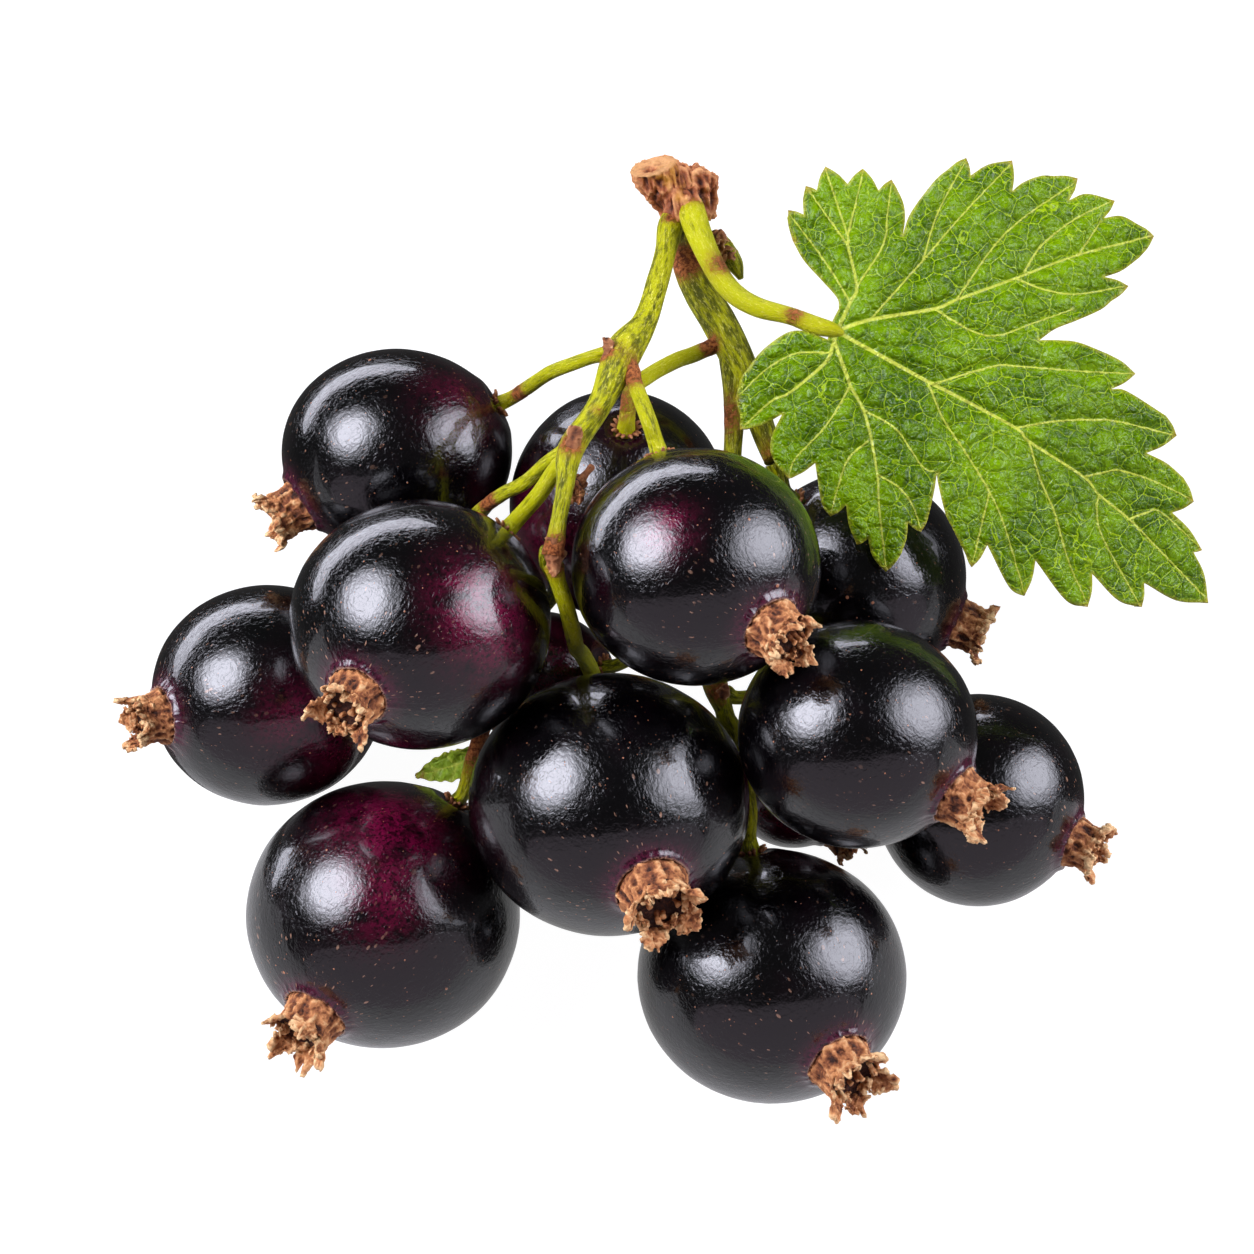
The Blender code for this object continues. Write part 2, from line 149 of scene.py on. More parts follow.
class Grain:
    """Seeded noise, read at points in millimetres."""

    def __init__(self, seed: int) -> None:
        """Draws the table of random heights."""
        self.table = np.random.default_rng(seed).random(TABLE_SIZE)

    def _pick(self, cell: np.ndarray) -> np.ndarray:
        """The random height of each whole-numbered cell corner."""
        mixed = np.bitwise_xor.reduce(cell * HASH_PRIMES, axis=1)
        return self.table[mixed & (TABLE_SIZE - 1)]

    def at(self, points: np.ndarray, size: float) -> np.ndarray:
        """Smooth noise between -1 and 1.

        Args:
            points: places, one per row.
            size: the length over which the noise changes.

        Returns:
            One value for each point.
        """
        place = points / size + NOISE_START
        cell = np.floor(place).astype(np.int64)
        part = place - cell
        part = part * part * (3 - 2 * part)
        total = np.zeros(len(points))
        for corner in np.ndindex(2, 2, 2):
            weight = np.prod(np.where(np.array(corner) == 1, part, 1 - part), axis=1)
            total += weight * self._pick(cell + np.array(corner))
        return total * 2 - 1

    def rough(self, points: np.ndarray, size: float, layers: int = 3) -> np.ndarray:
        """Noise with finer noise on it, between about -1 and 1."""
        return sum(self.at(points + 3.1 * k, size / 2**k) / 2**k for k in range(layers)) / 1.6

    def ridged(self, points: np.ndarray, size: float) -> np.ndarray:
        """Noise with sharp crests, between -1 and 1."""
        return 1 - 3.2 * np.abs(self.at(points, size)).clip(0, 0.625)

    def cells(self, points: np.ndarray, size: float) -> np.ndarray:
        """How far each point lies from the border of its random cell.

        Args:
            points: places, one per row.
            size: the mean width of a cell.

        Returns:
            The distance to the second nearest seed less that to the nearest, in parts of the size.
        """
        place = points / size + CELL_START
        cell = np.floor(place).astype(np.int64)
        found = []
        for step in np.ndindex(3, 3, 3):
            corner = cell + np.array(step) - 1
            spot = np.column_stack([self._pick(corner + SEED_STEP * k) for k in range(3)])
            found.append(np.linalg.norm(corner + 0.1 + 0.8 * spot - place, axis=1))
        near = np.partition(np.stack(found), 1, axis=0)
        return near[1] - near[0]


# ---------------------------------------------------------------- shapes


@dataclass
class Shape:
    """Corners, faces and named values of one mesh, in millimetres."""

    points: np.ndarray
    quads: np.ndarray = field(default_factory=lambda: np.zeros((0, 4), int))
    tris: np.ndarray = field(default_factory=lambda: np.zeros((0, 3), int))
    values: dict[str, np.ndarray] = field(default_factory=dict)

    def normals(self) -> np.ndarray:
        """The smoothed outward way at each point.

        Returns:
            Unit rows, one for each point.
        """
        total = np.zeros_like(self.points)
        for faces in (self.quads, self.tris):
            if not len(faces):
                continue
            corners = self.points[faces]
            across = corners[:, 2] - corners[:, 0]
            if faces.shape[1] == 4:
                facing = np.cross(across, corners[:, 3] - corners[:, 1])
            else:
                facing = np.cross(corners[:, 1] - corners[:, 0], across)
            for k in range(faces.shape[1]):
                np.add.at(total, faces[:, k], facing)
        return total / np.maximum(np.linalg.norm(total, axis=1, keepdims=True), 1e-9)

    def pushed(self, amount: np.ndarray) -> "Shape":
        """The same shape with each point moved outwards by its amount."""
        moved = self.points + self.normals() * np.asarray(amount)[:, None]
        return Shape(moved, self.quads, self.tris, self.values)

    def flipped(self) -> "Shape":
        """The same shape with its faces turned over."""
        return Shape(self.points, self.quads[:, ::-1], self.tris[:, ::-1], self.values)

    def placed(self, origin: Sequence[float], axes: np.ndarray) -> "Shape":
        """The same shape moved from its own axes to the given ones."""
        return Shape(self.points @ axes + np.asarray(origin), self.quads, self.tris, self.values)

    def shelled(self, thickness: float | np.ndarray) -> "Shape":
        """Gives an open sheet a second side and walls along its edges.

        Args:
            thickness: how far the second side lies behind the first, for all points or for each.

        Returns:
            A closed shape, with the value "under" at 1 on its second side.
        """
        count = len(self.points)
        behind = self.points - self.normals() * np.broadcast_to(thickness, count)[:, None]
        sides = []
        for faces in (self.quads, self.tris):
            for k in range(faces.shape[1]):
                sides.append(np.column_stack((faces[:, k], faces[:, (k + 1) % faces.shape[1]])))
        edges = np.vstack(sides)
        twin = set(map(int, edges[:, 1] * count + edges[:, 0]))
        rim = edges[[int(a * count + b) not in twin for a, b in edges]]
        walls = np.column_stack((rim[:, 1], rim[:, 0], rim[:, 0] + count, rim[:, 1] + count))
        quads = np.vstack((self.quads, self.quads[:, ::-1] + count, walls))
        tris = np.vstack((self.tris, self.tris[:, ::-1] + count))
        values = {name: np.concatenate((held, held)) for name, held in self.values.items()}
        values["under"] = np.repeat((0.0, 1.0), count)
        return Shape(np.vstack((self.points, behind)), quads, tris, values)


def joined(shapes: Sequence[Shape]) -> Shape:
    """Puts several shapes into one.

    Args:
        shapes: the shapes, of which only the values that all of them have are kept.

    Returns:
        The one shape.
    """
    starts = np.cumsum([0] + [len(shape.points) for shape in shapes[:-1]])
    shared = set.intersection(*(set(shape.values) for shape in shapes))
    return Shape(
        np.vstack([shape.points for shape in shapes]),
        np.vstack([shape.quads + start for shape, start in zip(shapes, starts)]),
        np.vstack([shape.tris + start for shape, start in zip(shapes, starts)]),
        {name: np.concatenate([shape.values[name] for shape in shapes]) for name in sorted(shared)},
    )


def woven(points: np.ndarray, values: Mapping[str, np.ndarray], ring: bool) -> Shape:
    """Makes a sheet from rows and columns of points.

    Args:
        points: an array of rows by columns by 3.
        values: named arrays of rows by columns, or with three values each.
        ring: whether each row closes on itself.

    Returns:
        The open sheet; a ring of columns that turn to the left about the rows' way faces outwards.
    """
    rows, columns = points.shape[:2]
    index = np.arange(rows * columns).reshape(rows, columns)
    following = np.roll(index, -1, axis=1) if ring else index[:, 1:]
    here = index if ring else index[:, :-1]
    quads = np.stack((here[:-1], following[:-1], following[1:], here[1:]), axis=-1).reshape(-1, 4)
    flat = {name: held.reshape(rows * columns, *held.shape[2:]) for name, held in values.items()}
    return Shape(points.reshape(-1, 3), quads, values=flat)


def capped(shape: Shape, columns: int) -> Shape:
    """Closes both ends of a woven ring with a fan of triangles.

    Args:
        shape: the ring, as woven made it.
        columns: the number of points in each of its rows.

    Returns:
        The closed shape.
    """
    count = len(shape.points)
    first, last = np.arange(columns), np.arange(count - columns, count)
    centres = np.vstack((shape.points[first].mean(0), shape.points[last].mean(0)))
    tris = np.vstack(
        (
            np.column_stack((np.roll(first, -1), first, np.full(columns, count))),
            np.column_stack((last, np.roll(last, -1), np.full(columns, count + 1))),
        )
    )
    values = {
        name: np.concatenate((held, [held[first].mean(0)], [held[last].mean(0)]))
        for name, held in shape.values.items()
    }
    return Shape(np.vstack((shape.points, centres)), shape.quads, np.vstack((shape.tris, tris)), values)


def tube(route: Sequence[Way], radii: Sequence[float], sides: int, spacing: float) -> Shape:
    """A closed round tube along a smooth route.

    Args:
        route: the points that its middle passes through.
        radii: its radius at each of them.
        sides: the points around it.
        spacing: the length between its rings.

    Returns:
        The tube, with "run" (way around and length along), "turn" and "along" as values.
    """
    packed = smooth_route([(*point, radius) for point, radius in zip(route, radii)], 12)
    lengths = lengths_along(packed[:, :3])
    arc = np.linspace(0, lengths[-1], max(6, int(lengths[-1] / spacing)))
    line = read_at(packed, lengths, arc)
    tangents = np.gradient(line[:, :3], axis=0)
    side = np.cross((0, 0, 1), tangents[0])
    sideways, upward = [], []
    for tangent in tangents:
        tangent = unit(tangent)
        side = unit(side - tangent * (side @ tangent))
        sideways.append(side)
        upward.append(np.cross(tangent, side))
    turns = full_turn(sides)
    around = np.stack((np.cos(turns), np.sin(turns)), axis=-1)
    offset = around[None, :, :1] * np.array(sideways)[:, None]
    offset = offset + around[None, :, 1:] * np.array(upward)[:, None]
    points = line[:, None, :3] + offset * line[:, None, 3:]
    run = np.concatenate(
        (
            np.broadcast_to(around, (len(arc), sides, 2)),
            np.broadcast_to(arc[:, None, None], (len(arc), sides, 1)),
        ),
        axis=-1,
    )
    values = {"run": run, "along": run[..., 2], "turn": np.broadcast_to(turns, (len(arc), sides))}
    return capped(woven(points, values, ring=True), sides)


# ---------------------------------------------------------------- shader graphs


class Signal:
    """The output of a shader node, for use in Python expressions."""

    def __init__(self, graph: "Graph", socket: bpy.types.NodeSocket) -> None:
        """Keeps the socket and the graph that it belongs to."""
        self.graph = graph
        self.socket = socket

    def _combined(self, operation: str, first: "Operand", second: "Operand") -> "Signal":
        """Adds the node that works on two operands.

        Args:
            operation: the name of the operation, which both kinds of maths node share.
            first: the left operand.
            second: the right operand.

        Returns:
            The result, as wide as the wider operand.
        """
        wide = any(
            isinstance(item, tuple) or isinstance(item, Signal) and item.socket.type in ("VECTOR", "RGBA")
            for item in (first, second)
        )
        if not wide:
            return self.graph.node("ShaderNodeMath", {"operation": operation}, {0: first, 1: second})
        widened = [(item,) * 3 if isinstance(item, (int, float)) else item for item in (first, second)]
        sockets = {0: widened[0], 1: widened[1]}
        return self.graph.node("ShaderNodeVectorMath", {"operation": operation}, sockets)

    def __add__(self, other: "Operand") -> "Signal":
        """self + other"""
        return self._combined("ADD", self, other)

    __radd__ = __add__

    def __mul__(self, other: "Operand") -> "Signal":
        """self * other"""
        return self._combined("MULTIPLY", self, other)

    __rmul__ = __mul__

    def __sub__(self, other: "Operand") -> "Signal":
        """self - other"""
        return self._combined("SUBTRACT", self, other)

    def __rsub__(self, other: "Operand") -> "Signal":
        """other - self"""
        return self._combined("SUBTRACT", other, self)

    def __truediv__(self, other: "Operand") -> "Signal":
        """self / other"""
        return self._combined("DIVIDE", self, other)

    def __rtruediv__(self, other: "Operand") -> "Signal":
        """other / self"""
        return self._combined("DIVIDE", other, self)

    def most(self, other: "Operand") -> "Signal":
        """The larger of the two."""
        return self._combined("MAXIMUM", self, other)

    def between(self, low: float, high: float) -> "Signal":
        """Goes smoothly from 0 at low to 1 at high.

        Args:
            low: the value that gives 0, which may be the larger one.
            high: the value that gives 1.

        Returns:
            The share of the way.
        """
        flip = low > high
        sockets = {"Value": self, "From Min": min(low, high), "From Max": max(low, high)}
        made = self.graph.node("ShaderNodeMapRange", {"interpolation_type": "SMOOTHSTEP"}, sockets)
        return 1 - made if flip else made


Operand = Signal | float | tuple


class Graph:
    """The nodes of one material."""

    def __init__(self, name: str) -> None:
        """Starts a material with nothing but its shader and its output.

        Args:
            name: the material's name.
        """
        self.material = bpy.data.materials.new(name)
        self.material.use_nodes = True
        self.tree = self.material.node_tree
        self.shader = self.tree.nodes["Principled BSDF"]

    def feed(self, socket: bpy.types.NodeSocket, value: Operand) -> None:
        """Links a signal to a socket, or sets the socket's own value.

        Args:
            socket: the input.
            value: what it takes.
        """
        if isinstance(value, Signal):
            self.tree.links.new(value.socket, socket)
        elif socket.type == "RGBA" and len(value) == 3:
            socket.default_value = (*value, 1.0)
        else:
            socket.default_value = value

    def node(
        self,
        kind: str,
        settings: Mapping[str, object] | None = None,
        sockets: Mapping[int | str, Operand] | None = None,
        out: int | str = 0,
    ) -> Signal:
        """Adds one node.

        Args:
            kind: the node's type.
            settings: its own settings, set first; "stops" holds a ramp's places and colours.
            sockets: the values or links of its inputs.
            out: which output to return.

        Returns:
            The chosen output.
        """
        made = self.tree.nodes.new(kind)
        for name, value in (settings or {}).items():
            if name != "stops":
                setattr(made, name, value)
                continue
            stops = made.color_ramp.elements
            while len(stops) < len(value):
                stops.new(0.5)
            for stop, (place, colour) in zip(stops, value):
                stop.position = place
                stop.color = (*colour, 1.0)
        for key, value in (sockets or {}).items():
            self.feed(made.inputs[key], value)
        return Signal(self, made.outputs[out])

    def read(self, name: str) -> Signal:
        """A number that the mesh holds at each point."""
        return self.node("ShaderNodeAttribute", {"attribute_name": name}, out="Fac")

    def read_way(self, name: str) -> Signal:
        """A vector that the mesh holds at each point."""
        return self.node("ShaderNodeAttribute", {"attribute_name": name}, out="Vector")

    def noise(
        self,
        place: Signal,
        scale: float,
        detail: float = 3.0,
        rough: float = 0.55,
        swirl: float = 0.0,
        out: str = "Fac",
    ) -> Signal:
        """Soft noise between 0 and 1.

        Args:
            place: the coordinates that it is read at.
            scale: how fine it is.
            detail: how many finer layers lie on it.
            rough: how strong these are.
            swirl: how far it is bent by itself.
            out: "Fac" for a number or "Color" for three.

        Returns:
            The noise.
        """
        sockets = {"Vector": place, "Scale": scale, "Detail": detail, "Roughness": rough, "Distortion": swirl}
        return self.node("ShaderNodeTexNoise", {}, sockets, out)

    def spots(self, place: Signal, scale: float, size: float, share: float) -> Signal:
        """Small round spots at random places.

        Args:
            place: the coordinates that the spots lie in.
            scale: spots per unit.
            size: a spot's radius, in parts of the space between two.
            share: the share of all places that has a spot.

        Returns:
            A mask with 1 inside the spots.
        """
        cells = {"Vector": place, "Scale": scale}
        distance = self.node("ShaderNodeTexVoronoi", {}, cells, "Distance")
        chance = self.node("ShaderNodeTexVoronoi", {}, cells, "Color")
        pick = self.node("ShaderNodeSeparateColor", {}, {0: chance}, 0)
        reach = self.node("ShaderNodeSeparateColor", {}, {0: chance}, 1)
        inside = (distance / (reach * size + size * 0.4)).between(1.0, 0.55)
        return inside * pick.between(share + 0.01, share - 0.01)

    def blend(self, factor: Operand, first: Operand, second: Operand) -> Signal:
        """Goes from the first colour to the second as the factor goes from 0 to 1."""
        settings = {"data_type": "RGBA", "clamp_factor": True}
        return self.node("ShaderNodeMix", settings, {0: factor, 6: first, 7: second}, 2)

    def layered(self, base: Operand, *layers: tuple[Operand, Operand]) -> Signal:
        """Lays colours over one another, each through its own mask.

        Args:
            base: the lowest colour.
            layers: each higher layer's mask and colour, from the lowest up.

        Returns:
            The colour that shows.
        """
        for mask, colour in layers:
            base = self.blend(mask, base, colour)
        return base

    def ramp(self, value: Signal, stops: Sequence[tuple[float, Colour]]) -> Signal:
        """Colours by value."""
        return self.node("ShaderNodeValToRGB", {"stops": stops}, {0: value})

    def bump(self, height: Signal, depth: float, under: Signal | None = None) -> Signal:
        """Small relief.

        Args:
            height: the relief, from 0 to 1.
            depth: its depth in metres.
            under: a normal that it goes on.

        Returns:
            The changed normal.
        """
        sockets = {"Height": height, "Distance": depth, "Strength": 1.0}
        if under is not None:
            sockets["Normal"] = under
        return self.node("ShaderNodeBump", {}, sockets)

    def surface(self, **sockets: Operand) -> bpy.types.Material:
        """Sets or links the shader's inputs.

        Args:
            sockets: the value or signal of each input, whose name has _ for each space.

        Returns:
            The finished material.
        """
        for name, value in sockets.items():
            self.feed(self.shader.inputs[name.replace("_", " ")], value)
        return self.material


# ---------------------------------------------------------------- finishes


@dataclass(frozen=True)
class BerrySkin:
    """Near-black fruit skin, glossy, with tan lenticels, wine-red thin places and a torn rim at the crown."""

    night: Colour = (0.0007, 0.0004, 0.0008)
    plum: Colour = (0.0026, 0.0006, 0.0017)
    wine: Colour = (0.150, 0.003, 0.034)
    ring: Colour = (0.075, 0.008, 0.026)
    tan: Colour = (0.42, 0.165, 0.080)
    straw: Colour = (0.36, 0.20, 0.13)
    torn: Colour = (0.42, 0.25, 0.17)
    roughness: float = 0.115
    relief: float = 0.000034

    def material(self) -> bpy.types.Material:
        """Builds the finish.

        Returns:
            The material, which reads the values place, run, blush, ring, torn and crown_side.
        """
        graph = Graph("berry_skin")
        place, run = graph.read_way("place"), graph.read_way("run")
        mottle = graph.noise(place, 0.55, 4.0)
        grit = graph.noise(place, 6.0, 3.0, 0.65)
        clouds = graph.noise(place, 0.9, 4.0, 0.6).between(0.26, 0.58)
        patch = graph.read("blush") * clouds * grit.between(0.30, 0.56)
        dots = graph.spots(place, 0.80, 0.062, 0.50).most(graph.spots(place, 2.1, 0.085, 0.42))
        dots = dots.most(graph.spots(place, 4.2, 0.15, 0.34) * mottle.between(0.30, 0.60) * 0.6)
        streaks = graph.spots(run * (8.0, 8.0, 6.5), 1.0, 0.15, 0.40)
        streaks = streaks.most(graph.spots(run * (19.0, 19.0, 11.0), 1.0, 0.2, 0.36))
        streaks = streaks * graph.read("crown_side") * graph.noise(place, 2.2, 2.0).between(0.30, 0.55)
        colour = graph.layered(
            self.night,
            (mottle.between(0.46, 0.78), self.plum),
            (patch * 0.95, self.wine),
            (graph.read("ring") * grit.between(0.28, 0.60) * 0.85, self.ring),
            (dots * 0.85, self.tan),
            (streaks * 0.8, self.straw),
            (graph.read("torn") * grit.between(0.40, 0.58), self.torn),
        )
        brushed = graph.noise(run * (24.0, 24.0, 9.0), 1.0, 2.0, 0.5)
        pores = graph.noise(place, 4.2, 2.0, 0.5, swirl=1.2)
        normal = graph.bump(brushed * 0.5 + pores * 0.8 + dots * 0.3, self.relief)
        return graph.surface(
            Base_Color=colour,
            Roughness=(mottle - 0.5) * 0.12 + grit * 0.10 + self.roughness,
            Normal=normal,
            IOR=1.5,
            Specular_IOR_Level=0.50,
            Coat_Weight=0.60,
            Coat_Roughness=0.06,
        )


@dataclass(frozen=True)
class CrownPaper:
    """Crumpled dry tan tissue of a withered flower, coloured by its relief: painted shade in its folds and pits
    and a painted highlight on its ridges and edges.
    """

    name: str = "crown_paper"
    deep: Colour = (0.028, 0.0065, 0.0028)
    brown: Colour = (0.225, 0.066, 0.021)
    tan: Colour = (0.58, 0.240, 0.085)
    highlight_cream: Colour = (0.88, 0.58, 0.29)
    crumple: float = 0.00013

    def material(self) -> bpy.types.Material:
        """Builds the finish.

        Returns:
            The material, which reads the values place and relief.
        """
        graph = Graph(self.name)
        place = graph.read_way("place")
        fine = graph.noise(place, 7.0, 4.0, 0.65)
        broad = graph.noise(place, 1.6, 2.0)
        # painted shade and highlight: the colour rises with the relief and with the fine bump, darkest in
        # hollows and palest on crests and edges
        level = graph.read("relief") * 0.86 + fine * 0.46 + broad * 0.16 - 0.24
        return graph.surface(
            Base_Color=graph.ramp(
                level, [(0.12, self.deep), (0.34, self.brown), (0.58, self.tan), (0.88, self.highlight_cream)]
            ),
            Roughness=fine * 0.2 + 0.55,
            Normal=graph.bump(fine, self.crumple),
            Specular_IOR_Level=0.35,
        )


@dataclass(frozen=True)
class StemSkin:
    """Fresh yellow-green stalk with pale down, painted shade in its grooves and brown corky places."""

    shade: Colour = (0.085, 0.092, 0.0002)
    green: Colour = (0.480, 0.480, 0.0010)
    pale: Colour = (0.78, 0.72, 0.15)
    cork: Colour = (0.115, 0.024, 0.006)
    rust: Colour = (0.46, 0.150, 0.042)
    warm: Colour = (0.36, 0.20, 0.012)
    relief: float = 0.00014

    def material(self) -> bpy.types.Material:
        """Builds the finish.

        Returns:
            The material, which reads the values place, run, stain and tone.
        """
        graph = Graph("stem_skin")
        place, run = graph.read_way("place"), graph.read_way("run")
        grain = graph.noise(run * (3.0, 3.0, 1.3), 1.0, 4.0, 0.65)
        down = graph.noise(run * (8.0, 8.0, 3.6), 1.0, 3.0, 0.75)
        fleck = graph.noise(place, 5.5, 3.0, 0.7)
        mask = (graph.read("stain") * 1.25 + fleck * 1.1 - 0.78).between(0.10, 0.50)
        # painted shade: the tone carries the ribs, so the grooves between them lean to the shade colour
        colour = graph.layered(
            self.shade,
            ((grain + graph.read("tone") - 0.5).between(0.34, 0.64), self.green),
            (down.between(0.53, 0.68) * 0.68, self.pale),
            (graph.read("stain").between(0.02, 0.4) * 0.45, self.warm),
            (mask, graph.blend(fleck.between(0.36, 0.62), self.cork, self.rust)),
        )
        normal = graph.bump(down * 0.8 + grain * 0.3 + fleck * 0.5 + mask * fleck * 0.9, self.relief)
        return graph.surface(
            Base_Color=colour,
            Roughness=mask * 0.25 + down * 0.15 + 0.28,
            Normal=normal,
            Specular_IOR_Level=0.15,
        )


@dataclass(frozen=True)
class SpurBark:
    """Wrinkled brown bark with painted shade in its creases, painted highlights in tan on its ridges, ochre
    patches, and the pale wood of a cut end.
    """

    deep: Colour = (0.045, 0.0075, 0.0025)
    brown: Colour = (0.300, 0.078, 0.020)
    tan: Colour = (0.76, 0.38, 0.155)
    ochre: Colour = (0.44, 0.190, 0.008)
    wood: Colour = (0.58, 0.30, 0.115)
    wrinkle: float = 0.00009

    def material(self) -> bpy.types.Material:
        """Builds the finish.

        Returns:
            The material, which reads the values place, relief and cut.
        """
        graph = Graph("spur_bark")
        place = graph.read_way("place")
        fine = graph.noise(place, 5.0, 4.0, 0.65)
        # painted shade and highlight: the colour rises with the relief and with the fine bump, dark in creases
        # and tan on ridges
        level = graph.read("relief") * 0.80 + fine * 0.46 - 0.15
        patches = graph.noise(place, 0.85, 2.0).between(0.52, 0.66) * level.between(0.2, 0.5)
        colour = graph.layered(
            graph.ramp(level, [(0.14, self.deep), (0.46, self.brown), (0.90, self.tan)]),
            (patches * 0.75, self.ochre),
            (graph.read("cut") * fine.between(0.25, 0.5), self.wood),
        )
        return graph.surface(
            Base_Color=colour,
            Roughness=fine * 0.2 + 0.45,
            Normal=graph.bump(fine, self.wrinkle),
            Specular_IOR_Level=0.35,
        )


@dataclass(frozen=True)
class LeafSurface:
    """Glossy leaf, crumpled between yellow-green veins, with a fine net and yellow, browning tooth tips."""

    deep: Colour = (0.034, 0.090, 0.0001)
    green: Colour = (0.150, 0.285, 0.0002)
    vein: Colour = (0.50, 0.55, 0.060)
    net: Colour = (0.290, 0.430, 0.006)
    rim: Colour = (0.42, 0.42, 0.035)
    tip: Colour = (0.34, 0.17, 0.030)
    below: Colour = (0.15, 0.25, 0.070)
    roughness: float = 0.09
    crumple: float = 0.00024
    fine_relief: float = 0.000018

    def lines(self, graph: Graph, place: Signal, scale: float) -> Signal:
        """Distance to the nearest line of a net, in parts of its cells."""
        settings = {"feature": "DISTANCE_TO_EDGE"}
        return graph.node("ShaderNodeTexVoronoi", settings, {"Vector": place, "Scale": scale}, "Distance")

    def material(self) -> bpy.types.Material:
        """Builds the finish.

        Returns:
            The material, which reads the values place, vein, bright, rim, tip and under.
        """
        graph = Graph("leaf_surface")
        place = graph.read_way("place")
        sway = graph.noise(place, 1.3, 2.0, 0.5, out="Color")
        bent = place + (sway - 0.5) * 0.30
        tone = graph.noise(place, 0.33, 3.0)
        fine = graph.noise(bent, 4.5, 3.0, 0.6)
        coarse, lace = self.lines(graph, bent, 1.10), self.lines(graph, bent + 40.0, 3.2)
        pads = coarse.between(0.0, 0.30)
        shown = graph.noise(place, 0.22, 1.0).between(0.36, 0.60) * 0.45 + 0.40
        colour = graph.layered(
            self.deep,
            # painted shade: the pads also lighten the green, so the blade is painted darker beside the net's
            # sunk lines and lighter on the raised pads
            ((tone * 0.6 + fine * 0.30 + pads * 0.12).between(0.36, 0.66), self.green),
            (lace.between(0.055, 0.010) * shown * 0.42, self.net),
            (coarse.between(0.032, 0.008) * shown * 1.1, self.net),
            (graph.read("under") * 0.9, self.below),
            (graph.read("bright"), self.net),
            (graph.read("vein"), self.vein),
            (graph.read("rim") * 0.8, self.rim),
            (graph.read("tip") * fine.between(0.3, 0.6), self.tip),
        )
        crumple = graph.noise(bent, 2.7, 3.0, 0.5, swirl=0.6)
        relief = graph.bump(pads * 0.34 + lace.between(0.0, 0.24) * 0.12 + crumple * 0.85, self.crumple)
        return graph.surface(
            Base_Color=colour,
            Roughness=fine * 0.12 + graph.read("under") * 0.25 + self.roughness,
            Normal=graph.bump(fine, self.fine_relief, relief),
            Specular_IOR_Level=0.27,
        )


@dataclass(frozen=True)
class FloorFinish:
    """Pale translucent board, softly lit from below."""

    name: str = "pale_floor"
    colour: Colour = (0.20, 0.20, 0.20)
    glow: float = 0.97

    def material(self) -> bpy.types.Material:
        """Builds the finish.

        Returns:
            The material.
        """
        graph = Graph(self.name)
        return graph.surface(
            Base_Color=self.colour,
            Roughness=0.9,
            Specular_IOR_Level=0.0,
            Emission_Color=(1.0, 1.0, 1.0),
            Emission_Strength=self.glow,
        )


class Finish(Enum):
    """The finishes of the sprig and the record's slot that each belongs to."""

    SKIN = "berry_skin"
    PAPER = "dried_flower"
    STEM = "stem_green"
    BARK = "spur_bark"
    LEAF = "leaf_green"
    SCALE = "bract_brown"


class Bench:
    """Turns shapes into pieces of the sprig, each in its finish and on its CAD node."""

    def __init__(self) -> None:
        """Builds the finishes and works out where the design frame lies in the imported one."""
        scale_paper = CrownPaper("bract_scale", brown=(0.20, 0.062, 0.020), tan=(0.42, 0.17, 0.065))
        self.materials = {
            Finish.SKIN: BerrySkin().material(),
            Finish.PAPER: CrownPaper().material(),
            Finish.STEM: StemSkin().material(),
            Finish.BARK: SpurBark().material(),
            Finish.LEAF: LeafSurface().material(),
            Finish.SCALE: scale_paper.material(),
        }
        low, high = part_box("berry_03")
        middle = (low + high) / 2 / MM
        self.shift = np.array((middle.x - KNOWN_PLACE[0], middle.y - KNOWN_PLACE[1], 0.0))
        self.made = 0

    def lay(self, name: str, shape: Shape, finish: Finish, *nodes: str) -> bpy.types.Object:
        """Makes a piece from a shape in the design frame.

        Args:
            name: the piece's name.
            shape: its mesh, in millimetres.
            finish: what it is made of.
            nodes: the CAD nodes that it stands for.

        Returns:
            The new object.
        """
        mesh = bpy.data.meshes.new(name)
        corners = (shape.points + self.shift) * MM
        mesh.from_pydata(corners.tolist(), [], shape.quads.tolist() + shape.tris.tolist())
        shape.values.setdefault("place", shape.points)
        for label, held in shape.values.items():
            wide = held.ndim == 2
            attribute = mesh.attributes.new(label, "FLOAT_VECTOR" if wide else "FLOAT", "POINT")
            key = "vector" if wide else "value"
            attribute.data.foreach_set(key, np.ascontiguousarray(held, np.float32).ravel())
        mesh.materials.append(self.materials[finish])
        mesh.shade_smooth()
        mesh.validate()
        piece = bpy.data.objects.new(name, mesh)
        bpy.context.scene.collection.objects.link(piece)
        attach(piece, BODY)
        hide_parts(*nodes)
        self.made += 1
        return piece


# ---------------------------------------------------------------- withered flowers


